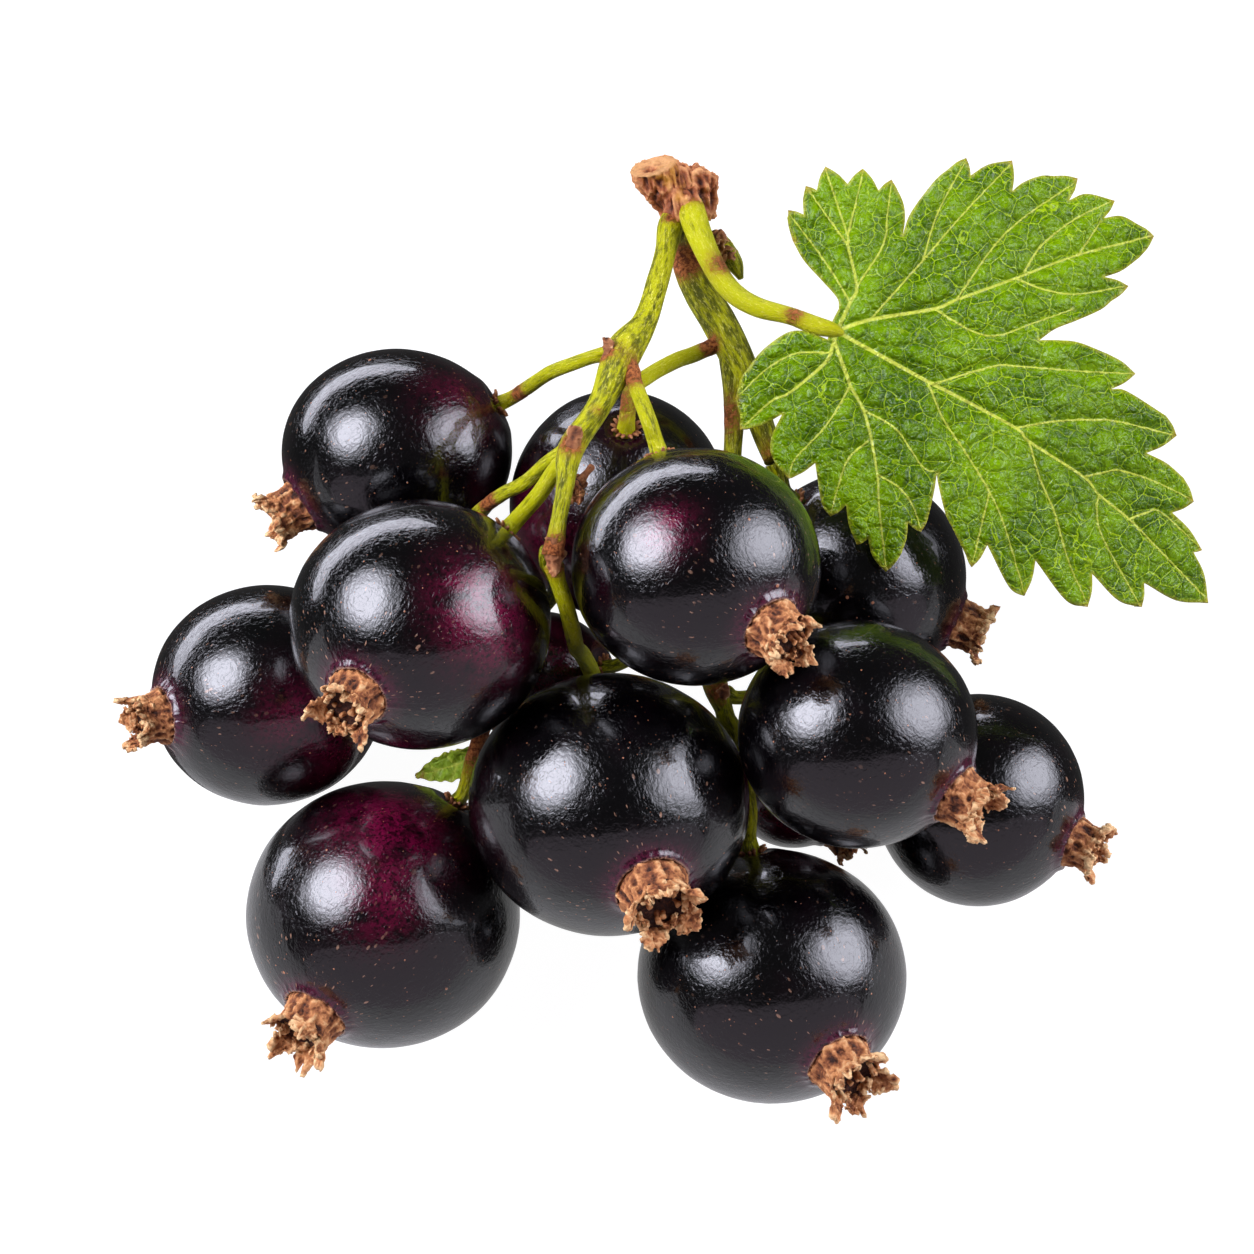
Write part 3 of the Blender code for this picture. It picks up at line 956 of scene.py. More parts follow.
@dataclass
class WitheredFlower:
    """A dried flower: a pitted, pleated cup that opens into short ragged sepals round a hollow, painted dark as
    shade.

    The flower stands on its own origin along +Z. Base, waist, mouth and cup height are parts of its length; how
    deep it is sunk, its wall and the depths of its relief are in millimetres.
    """

    length: float
    seed: int
    base: float = 0.570
    waist: float = 0.475
    mouth: float = 0.52
    cup_height: float = 0.50
    sunk: float = 0.5
    wall: float = 0.09
    sepals: int = 5
    stubs: int = 5
    comb_depth: float = 0.060
    fold_depth: float = 0.045
    pit_depth: float = 0.026
    frill_depth: float = 0.05

    def __post_init__(self) -> None:
        """Starts the flower's own random draws."""
        self.grain = Grain(self.seed)
        self.draw = np.random.default_rng(self.seed)

    def cup(self) -> Shape:
        """The pleated cup.

        Returns:
            An open ring of rows.
        """
        rows, columns = 36, 156
        turn = full_turn(columns)[None, :]
        up, _ = up_and_across(rows, columns)
        tall = self.cup_height * self.length
        height = -self.sunk + up * (tall + self.sunk)
        share = np.clip(height / tall, 0, 1)
        radius = self.base + (self.waist - self.base) * np.sin(share * math.pi / 2)
        radius = radius + (self.mouth - self.waist) * share**3
        circle = np.broadcast_arrays(2 * np.cos(turn), 2 * np.sin(turn), 2.2 * up)
        warp = self.grain.at(np.stack(circle, axis=-1).reshape(-1, 3), 0.8).reshape(rows, columns)
        pleats = 1 - 2 * np.abs(np.sin(5.5 * turn + 1.5 * warp + 0.5 * up))
        radius = radius * self.length * (1 + 0.06 * warp) + 0.035 * self.length * pleats * (0.3 + 0.7 * share)
        points = np.stack((radius * np.cos(turn), radius * np.sin(turn), height + 0 * turn), axis=-1)
        # painted highlight: the crests of the pleats get a higher relief, which the finish paints paler
        values = {"relief": 0.34 + 0.14 * pleats + 0 * up, "edge": share**5 + 0 * turn}
        return woven(points, values, ring=True)

    def sepal(self, turn: float, size: float, start: float, foot: float, lean: float, bend: float) -> Shape:
        """One sepal.

        Args:
            turn: its place around the flower, in radians.
            size: its length and width, 1 for an outer sepal.
            start: how far from the axis it begins.
            foot: the height at which it begins.
            lean: how it leans away from the axis where it begins, in radians.
            bend: how much further it leans at its tip.

        Returns:
            An open sheet.
        """
        rows, columns = 34, 29
        long = self.length * size * self.draw.uniform(0.27, 0.42)
        half = self.length * size * self.draw.uniform(0.19, 0.26)
        phase = self.draw.uniform(0, 6, 3)
        up, across = up_and_across(rows, columns)
        angle = lean + bend * up**1.2
        ragged = 0.20 * np.cos(across * 5.2 + phase[0]) + 0.12 * np.cos(across * 13 + phase[1])
        tip = 1 + (ragged - 0.30 * across**4) * up
        out = np.cumsum(np.sin(angle), axis=0) * long / (rows - 1) * tip
        rise = np.cumsum(np.cos(angle), axis=0) * long / (rows - 1) * tip
        width = half * (0.80 + 0.42 * np.sin(math.pi * up**1.2)) * (1 - 0.35 * up**5)
        teeth = 1 + 0.20 * up * np.where(across > 0, np.sin(up * 15 + phase[1]), np.sin(up * 18 + phase[2]))
        side = across * width * teeth
        cupped = across**2 * width * self.draw.uniform(0.15, 0.55)
        radial = start * self.length + out - cupped * np.cos(angle)
        height = foot * self.length + rise + cupped * np.sin(angle)
        height = height + 0.045 * self.length * np.cos(across * 8 + phase[0]) * up**2
        ahead, aside = (math.cos(turn), math.sin(turn)), (-math.sin(turn), math.cos(turn))
        flat = [radial * ahead[k] + side * aside[k] for k in range(2)]
        points = np.stack((*flat, height), axis=-1)
        edge = np.maximum(np.abs(across) ** 5 + 0 * up, up**7 + 0 * across)
        # painted highlight: a sepal's edges get a higher relief, which the finish paints paler
        return woven(points, {"relief": 0.36 + 0.22 * edge, "edge": edge}, ring=False)

    def heart(self) -> list[Shape]:
        """The floor of the cup, painted near-black as shade, with the stubs of the stamens, painted darker
        towards their feet as shade.

        Returns:
            Closed shapes.
        """
        rows, columns = 14, 40
        turn = full_turn(columns)[None, :]
        out = np.linspace(0.04, 1, rows)[:, None]
        radius = out * self.mouth * 0.92 * self.length
        height = (0.28 + 0.10 * out**2) * self.length
        points = np.stack((radius * np.cos(turn), radius * np.sin(turn), height + 0 * turn), axis=-1)
        # painted shade: the floor of the cup takes the lowest relief, which the finish paints near-black
        dark = np.full((rows, columns), 0.06)
        disc = woven(points, {"relief": dark, "edge": 0 * dark}, ring=True)
        parts = [disc.pushed(0.10 * self.grain.at(disc.points, 0.3)).shelled(0.15)]
        for k in range(self.stubs):
            place = 2 * math.pi * (k + self.draw.uniform(-0.4, 0.4)) / self.stubs
            spread = self.draw.uniform(0.08, 0.28) * self.length
            foot = np.array((math.cos(place) * spread, math.sin(place) * spread, 0.28 * self.length))
            lean = self.draw.uniform(-0.10, 0.10, 3) * self.length
            top = foot + lean + (0, 0, self.draw.uniform(0.16, 0.30) * self.length)
            radii = tuple(size * self.length for size in (0.06, 0.045, 0.05))
            stub = tube([tuple(foot), tuple((foot + top) / 2 + lean * 0.2), tuple(top)], radii, 10, 0.06)
            stub = stub.pushed(0.05 * self.grain.at(stub.points, 0.2))
            # painted shade: each stub is darkest at its foot, down in the cup, and paler towards its top
            shade_by_relief = 0.15 + 0.5 * stub.values["along"] / stub.values["along"].max()
            stub.values = {"relief": shade_by_relief, "edge": 0 * shade_by_relief, "under": 0 * shade_by_relief}
            parts.append(stub)
        return parts

    def shape(self) -> Shape:
        """The whole flower, crumpled.

        Returns:
            Closed shapes joined into one, with the values relief and edge.
        """
        sheets = [self.cup()]
        first = self.draw.uniform(0, 2 * math.pi)
        for k in range(self.sepals):
            turn = first + 2 * math.pi * (k + self.draw.uniform(-0.15, 0.15)) / self.sepals
            lean, bend = self.draw.uniform(-0.15, 0.40), self.draw.uniform(0.1, 1.1)
            sheets.append(self.sepal(turn, 1.0, self.mouth * 0.96, self.cup_height - 0.10, lean, bend))
            inner = turn + math.pi / self.sepals
            sheets.append(self.sepal(inner, 0.55, self.mouth * 0.80, self.cup_height - 0.12, -0.35, 0.3))
        closed = []
        for sheet in sheets:
            sheet = sheet.shelled(self.wall)
            long = sheet.points * (1.0, 1.0, 0.62)
            sway = np.column_stack([self.grain.at(sheet.points + 20 * k, 0.5) for k in range(3)])
            warped = long + 0.14 * sway
            comb = 1 - smoothstep(self.grain.cells(warped, 0.56), 0.0, 0.55)
            folds = self.grain.ridged(long + 2.0, 0.40)
            pits = self.grain.ridged(sheet.points + 9.0, 0.15)
            frill = self.grain.at(sheet.points + 4.0, 0.33) * sheet.values["edge"]
            push = self.comb_depth * (comb - 0.5) + self.fold_depth * folds + self.pit_depth * pits
            sheet = sheet.pushed(push + self.frill_depth * frill)
            # painted shade and highlight: the relief that colours the tissue follows the pushed comb, folds and
            # pits, darker in the hollows and paler on the crests and edges
            shade_by_relief = sheet.values["relief"] + 0.24 * (comb - 0.3) + 0.17 * folds + 0.12 * pits
            shade_by_relief += 0.16 * sheet.values["edge"]
            sheet.values["relief"] = np.clip(shade_by_relief, 0, 1)
            closed.append(sheet)
        return joined([*closed, *self.heart()])


# ---------------------------------------------------------------- berries


@dataclass
class Blush:
    """A wine-red thin place of the skin: the way from the berry's centre, its reach and its strength."""

    way: Way
    reach: float
    strength: float = 1.0


@dataclass
class Berry:
    """One berry with its crown: half its height, the ways to its crown and stalk, and its red places.

    The skin stands in a low lip round the crown and sinks in under it, and dips round the stalk.
    """

    number: int
    half_height: float
    crown_way: Way
    stalk_way: Way
    crown_scale: float
    blushes: tuple[Blush, ...] = ()
    columns: int = 180
    crown_length: float = 2.28
    lip: float = 0.13
    lip_gap: float = 0.13
    under_crown: float = 0.50
    dimple: float = 0.40
    dimple_rim: float = 0.08
    lumps: tuple[tuple[float, float, float], ...] = ((0.055, 4.1, 0.0), (0.022, 1.7, 5.0), (0.006, 0.45, 0.0))
    soft_floor: float = 0.004

    def __post_init__(self) -> None:
        """Reads the berry's place and size from its solid."""
        low, high = (np.array(corner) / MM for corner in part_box(self.node))
        self.half = np.array((*((high - low)[:2] / 2 + SKIN), self.half_height))
        self.centre = np.array((*((high + low)[:2] / 2), high[2] + SKIN - self.half_height))
        self.grain = Grain(100 + self.number)

    @property
    def node(self) -> str:
        """The name of the berry's CAD node."""
        return f"berry_{self.number:02d}"

    def reach(self, ways: np.ndarray) -> np.ndarray:
        """The distance from the centre to the smooth skin, along each way."""
        return 1 / np.linalg.norm(ways / self.half, axis=-1)

    def turned(self, ways: np.ndarray, way: Way) -> np.ndarray:
        """The angle between each of the ways and one way, in radians."""
        return np.arccos(np.clip(ways @ unit(way), -1, 1))

    def on_skin(self, way: Sequence[float], clear: float) -> np.ndarray:
        """The point that lies the given distance outside the skin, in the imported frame."""
        ahead = unit(way)
        return self.centre + ahead * (self.reach(ahead) + clear)

    def shape(self, shift: np.ndarray) -> Shape:
        """The skin, drawn as rings about the crown.

        Args:
            shift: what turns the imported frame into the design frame, subtracted.

        Returns:
            The closed skin with its values.
        """
        fine, coarse = np.linspace(0.03, 0.62, 64, endpoint=False), np.linspace(0.62, math.pi - 0.02, 92)
        polar, turn = np.meshgrid(np.concatenate((fine, coarse)), full_turn(self.columns), indexing="ij")
        own = np.stack((np.sin(polar) * np.cos(turn), np.sin(polar) * np.sin(turn), np.cos(polar)), axis=-1)
        axes = axes_along(self.crown_way)
        ways = (own @ axes).reshape(-1, 3)
        reach = self.reach(ways)
        mean = float(np.mean(self.half))
        arc = polar.ravel() * mean
        around = np.column_stack((np.cos(turn.ravel()), np.sin(turn.ravel()), polar.ravel()))

        lip_at = WitheredFlower.base * self.crown_length * self.crown_scale + self.lip_gap
        pucker = self.grain.at(around * (4.2, 4.2, 0.8), 1.0)
        pucker = pucker + 0.6 * self.grain.at(around * (9.0, 9.0, 1.5), 1.0)
        lift = self.lip * (1 + 0.45 * pucker) * hump(arc, lip_at, 0.24)
        lift += 0.022 * pucker * hump(arc, lip_at + 0.2, 0.7)
        lift -= self.under_crown * (1 - smoothstep(arc, lip_at - 0.36, lip_at - 0.06))
        to_stalk = self.turned(ways, self.stalk_way) * mean
        lift += self.dimple_rim * hump(to_stalk, 1.15, 0.5) - self.dimple * hump(to_stalk, 0, 0.75)
        for height, size, aside in self.lumps:
            lift += height * self.grain.at(ways * mean + aside, size)

        points = self.centre + ways * (reach + lift)[:, None]
        points[:, 2] = 0.5 * (points[:, 2] + np.sqrt(points[:, 2] ** 2 + self.soft_floor))
        blush = np.zeros(len(ways))
        for place in self.blushes:
            blush += place.strength * hump(self.turned(ways, place.way), 0, place.reach)
        ring = hump(arc, lip_at, 0.62) + (arc < lip_at) * (1 - hump(arc, lip_at, 0.62))
        torn = hump(arc, lip_at - 0.05 + 0.03 * pucker, 0.055)
        stain = hump(to_stalk, 0, 1.1)
        values = {
            "place": own.reshape(-1, 3) * mean + 20.0 * self.number,
            "run": around + (0, 0, 3.0 * self.number),
            "blush": np.clip(blush, 0, 1),
            "ring": np.clip(ring + 0.35 * stain, 0, 1),
            "torn": torn,
            "crown_side": (1 - smoothstep(polar.ravel(), 0.45, 1.25)) * 0.85 + 0.15,
        }
        rows = {name: held.reshape(*polar.shape, *held.shape[1:]) for name, held in values.items()}
        points = (points - shift).reshape(*polar.shape, 3)
        return capped(woven(points, rows, ring=True), self.columns).flipped()

    def build(self, bench: Bench) -> None:
        """Lays the berry and its crown.

        Args:
            bench: where they are laid.
        """
        bench.lay(f"berry_skin_{self.number:02d}", self.shape(bench.shift), Finish.SKIN, self.node)
        flower = WitheredFlower(self.crown_length * self.crown_scale, 300 + self.number)
        foot = self.on_skin(self.crown_way, -0.05) - bench.shift
        crown = flower.shape().placed(foot, axes_along(self.crown_way))
        bench.lay(f"flower_crown_{self.number:02d}", crown, Finish.PAPER, f"crown_{self.number:02d}")


BERRIES = (
    Berry(1, 5.0, (-0.87, -0.48, 0.1), (0.9, 0.42, 0.1), 0.95, (Blush((0.62, 0.42, 0.66), 0.35, 0.45),)),
    Berry(2, 5.1, (0.3, -0.85, -0.42), (0.07, 0.66, 0.74), 0.72, (Blush((-0.75, -0.35, 0.55), 0.5, 0.6),)),
    Berry(
        3, 5.8, (-0.48, -0.55, 0.68), (0.66, 0.72, -0.12), 1.05,
        (Blush((0.45, 0.20, 0.87), 0.30, 1.0), Blush((0.62, -0.10, 0.78), 0.34, 0.7)),
    ),
    Berry(4, 5.5, (0.61, -0.5, 0.61), (-0.3, 0.93, -0.2), 1.05, (Blush((-0.26, 0.30, 0.92), 0.20, 0.95),)),
    Berry(
        5, 5.2, (-0.9, -0.18, 0.39), (0.75, 0.5, 0.45), 0.94,
        (Blush((0.25, -0.20, 0.95), 0.30, 0.55), Blush((0.72, -0.50, 0.48), 0.42, 0.8)),
    ),
    Berry(
        6, 6.25, (-0.5, -0.73, 0.46), (0.54, 0.83, 0.1), 1.12,
        (Blush((0.05, 0.66, 0.75), 0.40, 0.9), Blush((0.02, 0.10, 0.99), 0.26, 0.65)),
    ),
    Berry(7, 6.15, (0.32, -0.61, 0.72), (-0.08, 0.72, -0.69), 1.25),
    Berry(8, 6.0, (0.51, -0.64, 0.57), (-0.17, 0.97, 0.1), 1.15),
    Berry(9, 5.3, (0.82, -0.52, 0.25), (-0.6, 0.55, -0.55), 1.05),
    Berry(10, 4.85, (0.9, -0.4, 0.2), (-0.8, 0.55, 0.15), 0.9),
    Berry(11, 4.95, (0.91, -0.41, 0.0), (-0.62, 0.7, 0.35), 0.9),
    Berry(12, 3.3, (0.62, -0.78, 0.0), (-0.75, 0.45, 0.48), 0.7, (Blush((-0.2, -0.3, 0.93), 0.9, 0.7),)),
    Berry(13, 3.25, (-0.85, 0.45, -0.15), (0.86, 0.2, 0.47), 0.72, (Blush((0.1, 0.3, 0.9), 0.8, 0.6),)),
)


# ---------------------------------------------------------------- stalks


@dataclass
class Stain:
    """A brown corky place on a stalk: its centre, its reach and its strength."""

    place: Way
    reach: float
    strength: float = 1.0


@dataclass
class Stalk:
    """A green stalk along a route, with its radii and its brown places."""

    name: str
    route: tuple[Way, ...]
    radii: tuple[float, ...]
    stains: tuple[Stain, ...] = ()
    tone: float = 0.5
    sides: int = 30
    spacing: float = 0.11
    rib_depth: float = 0.055
    wave_depth: float = 0.03
    bark_depth: float = 0.075

    def shape(self) -> Shape:
        """The stalk with its ridges, knots and rough places.

        Returns:
            The closed stalk, with the values run, place, stain and tone.
        """
        made = tube(self.route, self.radii, self.sides, self.spacing)
        grain = Grain(sum(map(ord, self.name)))
        run = made.values["run"]
        stain = np.zeros(len(made.points))
        for mark in self.stains:
            stain += mark.strength * hump(np.linalg.norm(made.points - mark.place, axis=1), 0, mark.reach)
        stain = np.clip(stain, 0, 1)
        ribs = grain.at(run * (2.1, 2.1, 0.35), 1.0)
        rough = grain.rough(made.points, 0.45)
        radius = float(np.mean(self.radii))
        waves = grain.at(made.points, 1.3)
        push = radius * (self.rib_depth * ribs + self.wave_depth * waves) + self.bark_depth * rough * stain
        made = made.pushed(push)
        made.values = {
            "run": run * (radius * 2, radius * 2, 1.0),
            "place": made.points,
            "stain": stain,
            # painted shade: the ribs raise the tone, so the grooves between them are painted darker
            "tone": np.full(len(stain), self.tone) + 0.12 * ribs,
        }
        return made


FRONT_STRIG = Stalk(
    "front_strig",
    (
        (2.2, 18.9, 2.9), (1.95, 18.2, 3.9), (1.75, 17.1, 5.3), (1.4, 15.7, 7.4), (0.8, 13.8, 9.6),
        (-0.2, 12.3, 11.4), (-1.2, 10.0, 13.6), (-2.5, 8.0, 15.3), (-2.8, 6.2, 16.4), (-3.1, 4.4, 17.2),
        (-3.3, 3.2, 17.3),
    ),
    (0.55, 0.58, 0.48, 0.5, 0.58, 0.85, 0.55, 0.6, 0.4, 0.38, 0.5),
    (
        Stain((2.0, 18.6, 4.1), 0.4, 0.8), Stain((-1.0, 12.3, 12.0), 0.55, 1.0),
        Stain((0.35, 11.5, 12.2), 0.5, 0.8), Stain((-2.5, 8.3, 15.9), 0.7, 0.75),
        Stain((-1.4, 9.7, 14.4), 0.35, 0.45), Stain((-3.2, 3.4, 17.3), 0.8, 1.0),
        Stain((0.0, 12.2, 12.0), 0.9, 0.25),
    ),
    0.52,
)
REAR_STRIG = Stalk(
    "rear_strig",
    (
        (3.0, 18.9, 2.3), (2.9, 18.3, 2.2), (2.8, 16.7, 3.2), (3.3, 15.3, 4.1), (4.2, 13.9, 5.0),
        (5.2, 11.9, 5.8), (5.9, 9.9, 6.3), (6.4, 8.4, 6.6), (6.7, 7.6, 6.9),
    ),
    (0.6, 0.6, 0.68, 0.72, 0.82, 0.75, 0.62, 0.55, 0.5),
    (
        Stain((2.6, 16.8, 4.0), 0.95, 1.0), Stain((3.9, 12.9, 5.8), 0.5, 0.7),
        Stain((4.9, 9.4, 7.0), 0.9, 0.4), Stain((6.5, 7.8, 7.2), 0.9, 0.4),
    ),
    0.44,
)
REAR_BRANCH = Stalk(
    "rear_branch",
    (
        (4.5, 13.9, 5.0), (4.7, 13.0, 5.4), (4.9, 10.6, 6.2), (4.8, 8.0, 7.4), (4.6, 4.9, 8.4),
        (4.2, 1.2, 8.8), (3.9, -2.0, 8.6), (4.4, -3.9, 8.2),
    ),
    (0.5, 0.62, 0.52, 0.42, 0.4, 0.42, 0.60, 0.36),
    (Stain((4.35, 9.6, 7.0), 1.2, 0.62), Stain((4.2, -2.8, 8.7), 0.8, 0.7)),
    0.46,
)
LEAF_STALK = Stalk(
    "leaf_stalk",
    (
        (2.6, 19.7, 2.2), (2.9, 19.05, 3.75), (3.3, 17.9, 5.3), (4.0, 16.3, 6.6), (4.8, 15.2, 7.5),
        (5.9, 14.5, 8.4), (7.3, 14.1, 9.2), (8.5, 13.65, 9.8), (9.25, 13.45, 9.95), (9.85, 13.25, 9.75),
    ),
    (0.66, 0.66, 0.60, 0.52, 0.48, 0.44, 0.4, 0.42, 0.34, 0.13),
    (
        Stain((2.9, 19.3, 4.0), 0.55, 0.8), Stain((4.3, 16.5, 6.9), 0.8, 0.62),
        Stain((7.6, 14.1, 9.6), 0.6, 0.62),
    ),
    0.72,
)


@dataclass
class PedicelPlan:
    """How a berry hangs: its stalk's route from the strig, its radius and its brown places."""

    route: tuple[Way, ...]
    radius: float
    stains: tuple[Stain, ...] = ()
    tone: float = 0.5


PEDICELS = (
    PedicelPlan(
        ((-0.9, 12.3, 11.4), (-1.5, 12.2, 11.4), (-2.4, 11.9, 11.1), (-3.5, 11.5, 9.6), (-4.5, 10.9, 7.0)),
        0.32, (Stain((-4.9, 10.6, 6.4), 0.9, 0.7),), 0.62,
    ),
    PedicelPlan(
        (
            (4.5, 12.95, 5.35), (3.8, 12.75, 5.6), (3.0, 12.4, 6.0), (2.2, 12.1, 6.8), (1.0, 11.4, 8.2),
            (0.2, 10.7, 9.4),
        ),
        0.36, (Stain((3.75, 12.8, 5.9), 0.6, 0.9), Stain((-0.2, 10.2, 9.4), 1.0, 0.6)), 0.78,
    ),
    PedicelPlan(((-2.8, 7.4, 15.5), (-3.3, 6.9, 15.1), (-3.9, 6.0, 14.6)), 0.38, (), 0.66),
    PedicelPlan(
        ((0.1, 11.7, 12.0), (0.4, 10.8, 13.1), (0.7, 10.0, 14.0), (1.0, 9.2, 15.0)), 0.36,
        (Stain((0.3, 11.3, 12.6), 0.95, 1.0),), 0.62,
    ),
    PedicelPlan(
        (
            (-2.6, 8.0, 15.0), (-3.6, 7.35, 14.1), (-4.6, 6.5, 12.9), (-5.6, 6.0, 11.7), (-6.7, 5.2, 10.0),
            (-8.3, 3.4, 7.6), (-10.6, 1.4, 7.4),
        ),
        0.32, (Stain((-6.2, 5.7, 11.0), 0.7, 0.95),), 0.55,
    ),
    PedicelPlan(
        (
            (-3.5, 3.4, 16.8), (-3.6, 2.9, 16.2), (-3.3, 2.3, 14.8), (-3.2, 1.7, 12.6), (-3.9, 0.7, 9.8),
            (-5.0, -1.0, 8.2), (-6.0, -3.4, 7.7), (-6.9, -5.6, 7.3),
        ),
        0.34, (Stain((-6.6, -4.6, 7.6), 2.1, 0.9),), 0.45,
    ),
    PedicelPlan(
        (
            (-3.25, 2.7, 17.15), (-3.1, 2.1, 16.8), (-2.7, 0.9, 15.6), (-2.4, -0.4, 12.8), (-2.3, -0.9, 10.3),
            (-2.0, -1.3, 8.4), (-1.6, -2.1, 6.6),
        ),
        0.38, (Stain((-3.2, 2.7, 17.3), 0.5, 0.9),), 0.62,
    ),
    PedicelPlan(
        (
            (4.0, -2.3, 8.55), (4.3, -3.3, 8.3), (4.5, -4.1, 8.2), (4.8, -4.7, 8.1), (5.2, -6.4, 7.9),
            (5.5, -8.2, 7.4),
        ),
        0.42,
    ),
    PedicelPlan(((4.2, -1.8, 8.7), (4.8, -1.6, 8.8), (5.6, -1.3, 9.2)), 0.34, (), 0.5),
    PedicelPlan(
        ((4.5, -3.0, 8.2), (5.1, -3.2, 7.9), (7.4, -3.0, 7.1), (9.6, -3.6, 6.6), (11.2, -4.5, 6.0)), 0.32
    ),
    PedicelPlan(((6.75, 7.45, 6.95), (6.9, 7.0, 6.9)), 0.4, (), 0.4),
    PedicelPlan(((4.4, -4.2, 7.7), (4.4, -4.6, 7.3), (4.4, -4.8, 6.4)), 0.3, (), 0.5),
    PedicelPlan(((3.9, -1.5, 8.65), (2.8, -1.3, 8.1), (1.6, -1.1, 7.2), (0.6, -1.25, 6.3)), 0.3, (), 0.5),
)
"""The stalks of the berries, in the berries' order."""


@dataclass
class StalkWork:
    """The strigs, the leaf stalk and the stalks of the berries."""

    stands_off: float = 0.75
    dips_in: float = -0.22
    swelling: float = 1.25
    neck: float = 1.12
    collar_teeth: int = 13

    def pedicel(self, berry: Berry, plan: PedicelPlan, shift: np.ndarray) -> Stalk:
        """The stalk of a berry, which stands square on it and sinks into its dimple.

        Args:
            berry: the berry that it carries.
            plan: its route and finish.
            shift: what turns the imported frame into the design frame, subtracted.

        Returns:
            The stalk.
        """
        clears = (self.stands_off, 0.1, self.dips_in)
        ends = [berry.on_skin(berry.stalk_way, clear) - shift for clear in clears]
        route = (*plan.route, *(tuple(end) for end in ends))
        radii = [plan.radius] * len(route)
        radii[0] *= self.swelling
        radii[-2] *= self.neck
        radii[-1] *= self.swelling
        return Stalk(f"pedicel_{berry.number:02d}", route, tuple(radii), plan.stains, plan.tone, 24, 0.10)

    def collar(self, berry: Berry, radius: float, shift: np.ndarray) -> Shape:
        """The ring of tiny brown teeth round the foot of a berry's stalk.

        Args:
            berry: the berry.
            radius: the stalk's radius.
            shift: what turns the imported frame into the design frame, subtracted.

        Returns:
            The joined teeth.
        """
        axes = axes_along(berry.stalk_way)
        foot = berry.on_skin(berry.stalk_way, -0.08) - shift
        draw = np.random.default_rng(700 + berry.number)
        teeth = []
        for k in range(self.collar_teeth):
            turn = 2 * math.pi * (k + draw.uniform(-0.3, 0.3)) / self.collar_teeth
            out = np.array((math.cos(turn), math.sin(turn), 0.0))
            start, rise = radius * 0.95, draw.uniform(0.12, 0.26)
            knee = out * (start + 0.13) + (0, 0, rise * 0.8)
            local = [out * start, knee, out * (start + 0.30) + (0, 0, rise)]
            made = tube([tuple(point) for point in local], (0.10, 0.09, 0.05), 8, 0.05)
            made.values = {"relief": 0.25 + 0.9 * made.values["along"]}
            teeth.append(made.placed(foot, axes))
        return joined(teeth)

    def build(self, bench: Bench) -> None:
        """Lays all stalks.

        Args:
            bench: where they are laid.
        """
        bench.lay("strig_front", FRONT_STRIG.shape(), Finish.STEM, "front_strig")
        rear = joined([REAR_STRIG.shape(), REAR_BRANCH.shape()])
        bench.lay("strig_rear", rear, Finish.STEM, "rear_strig")
        bench.lay("petiole", LEAF_STALK.shape(), Finish.STEM, "leaf_stalk")
        for berry, plan in zip(BERRIES, PEDICELS):
            node = f"pedicel_{berry.number:02d}"
            stalk = self.pedicel(berry, plan, bench.shift)
            bench.lay(f"berry_stalk_{berry.number:02d}", stalk.shape(), Finish.STEM, node)
            collar = self.collar(berry, plan.radius * self.swelling, bench.shift)
            bench.lay(f"stalk_collar_{berry.number:02d}", collar, Finish.SCALE, node)


# ---------------------------------------------------------------- spur, bud and scales


Branch = tuple[tuple[Way, ...], tuple[float, ...]]


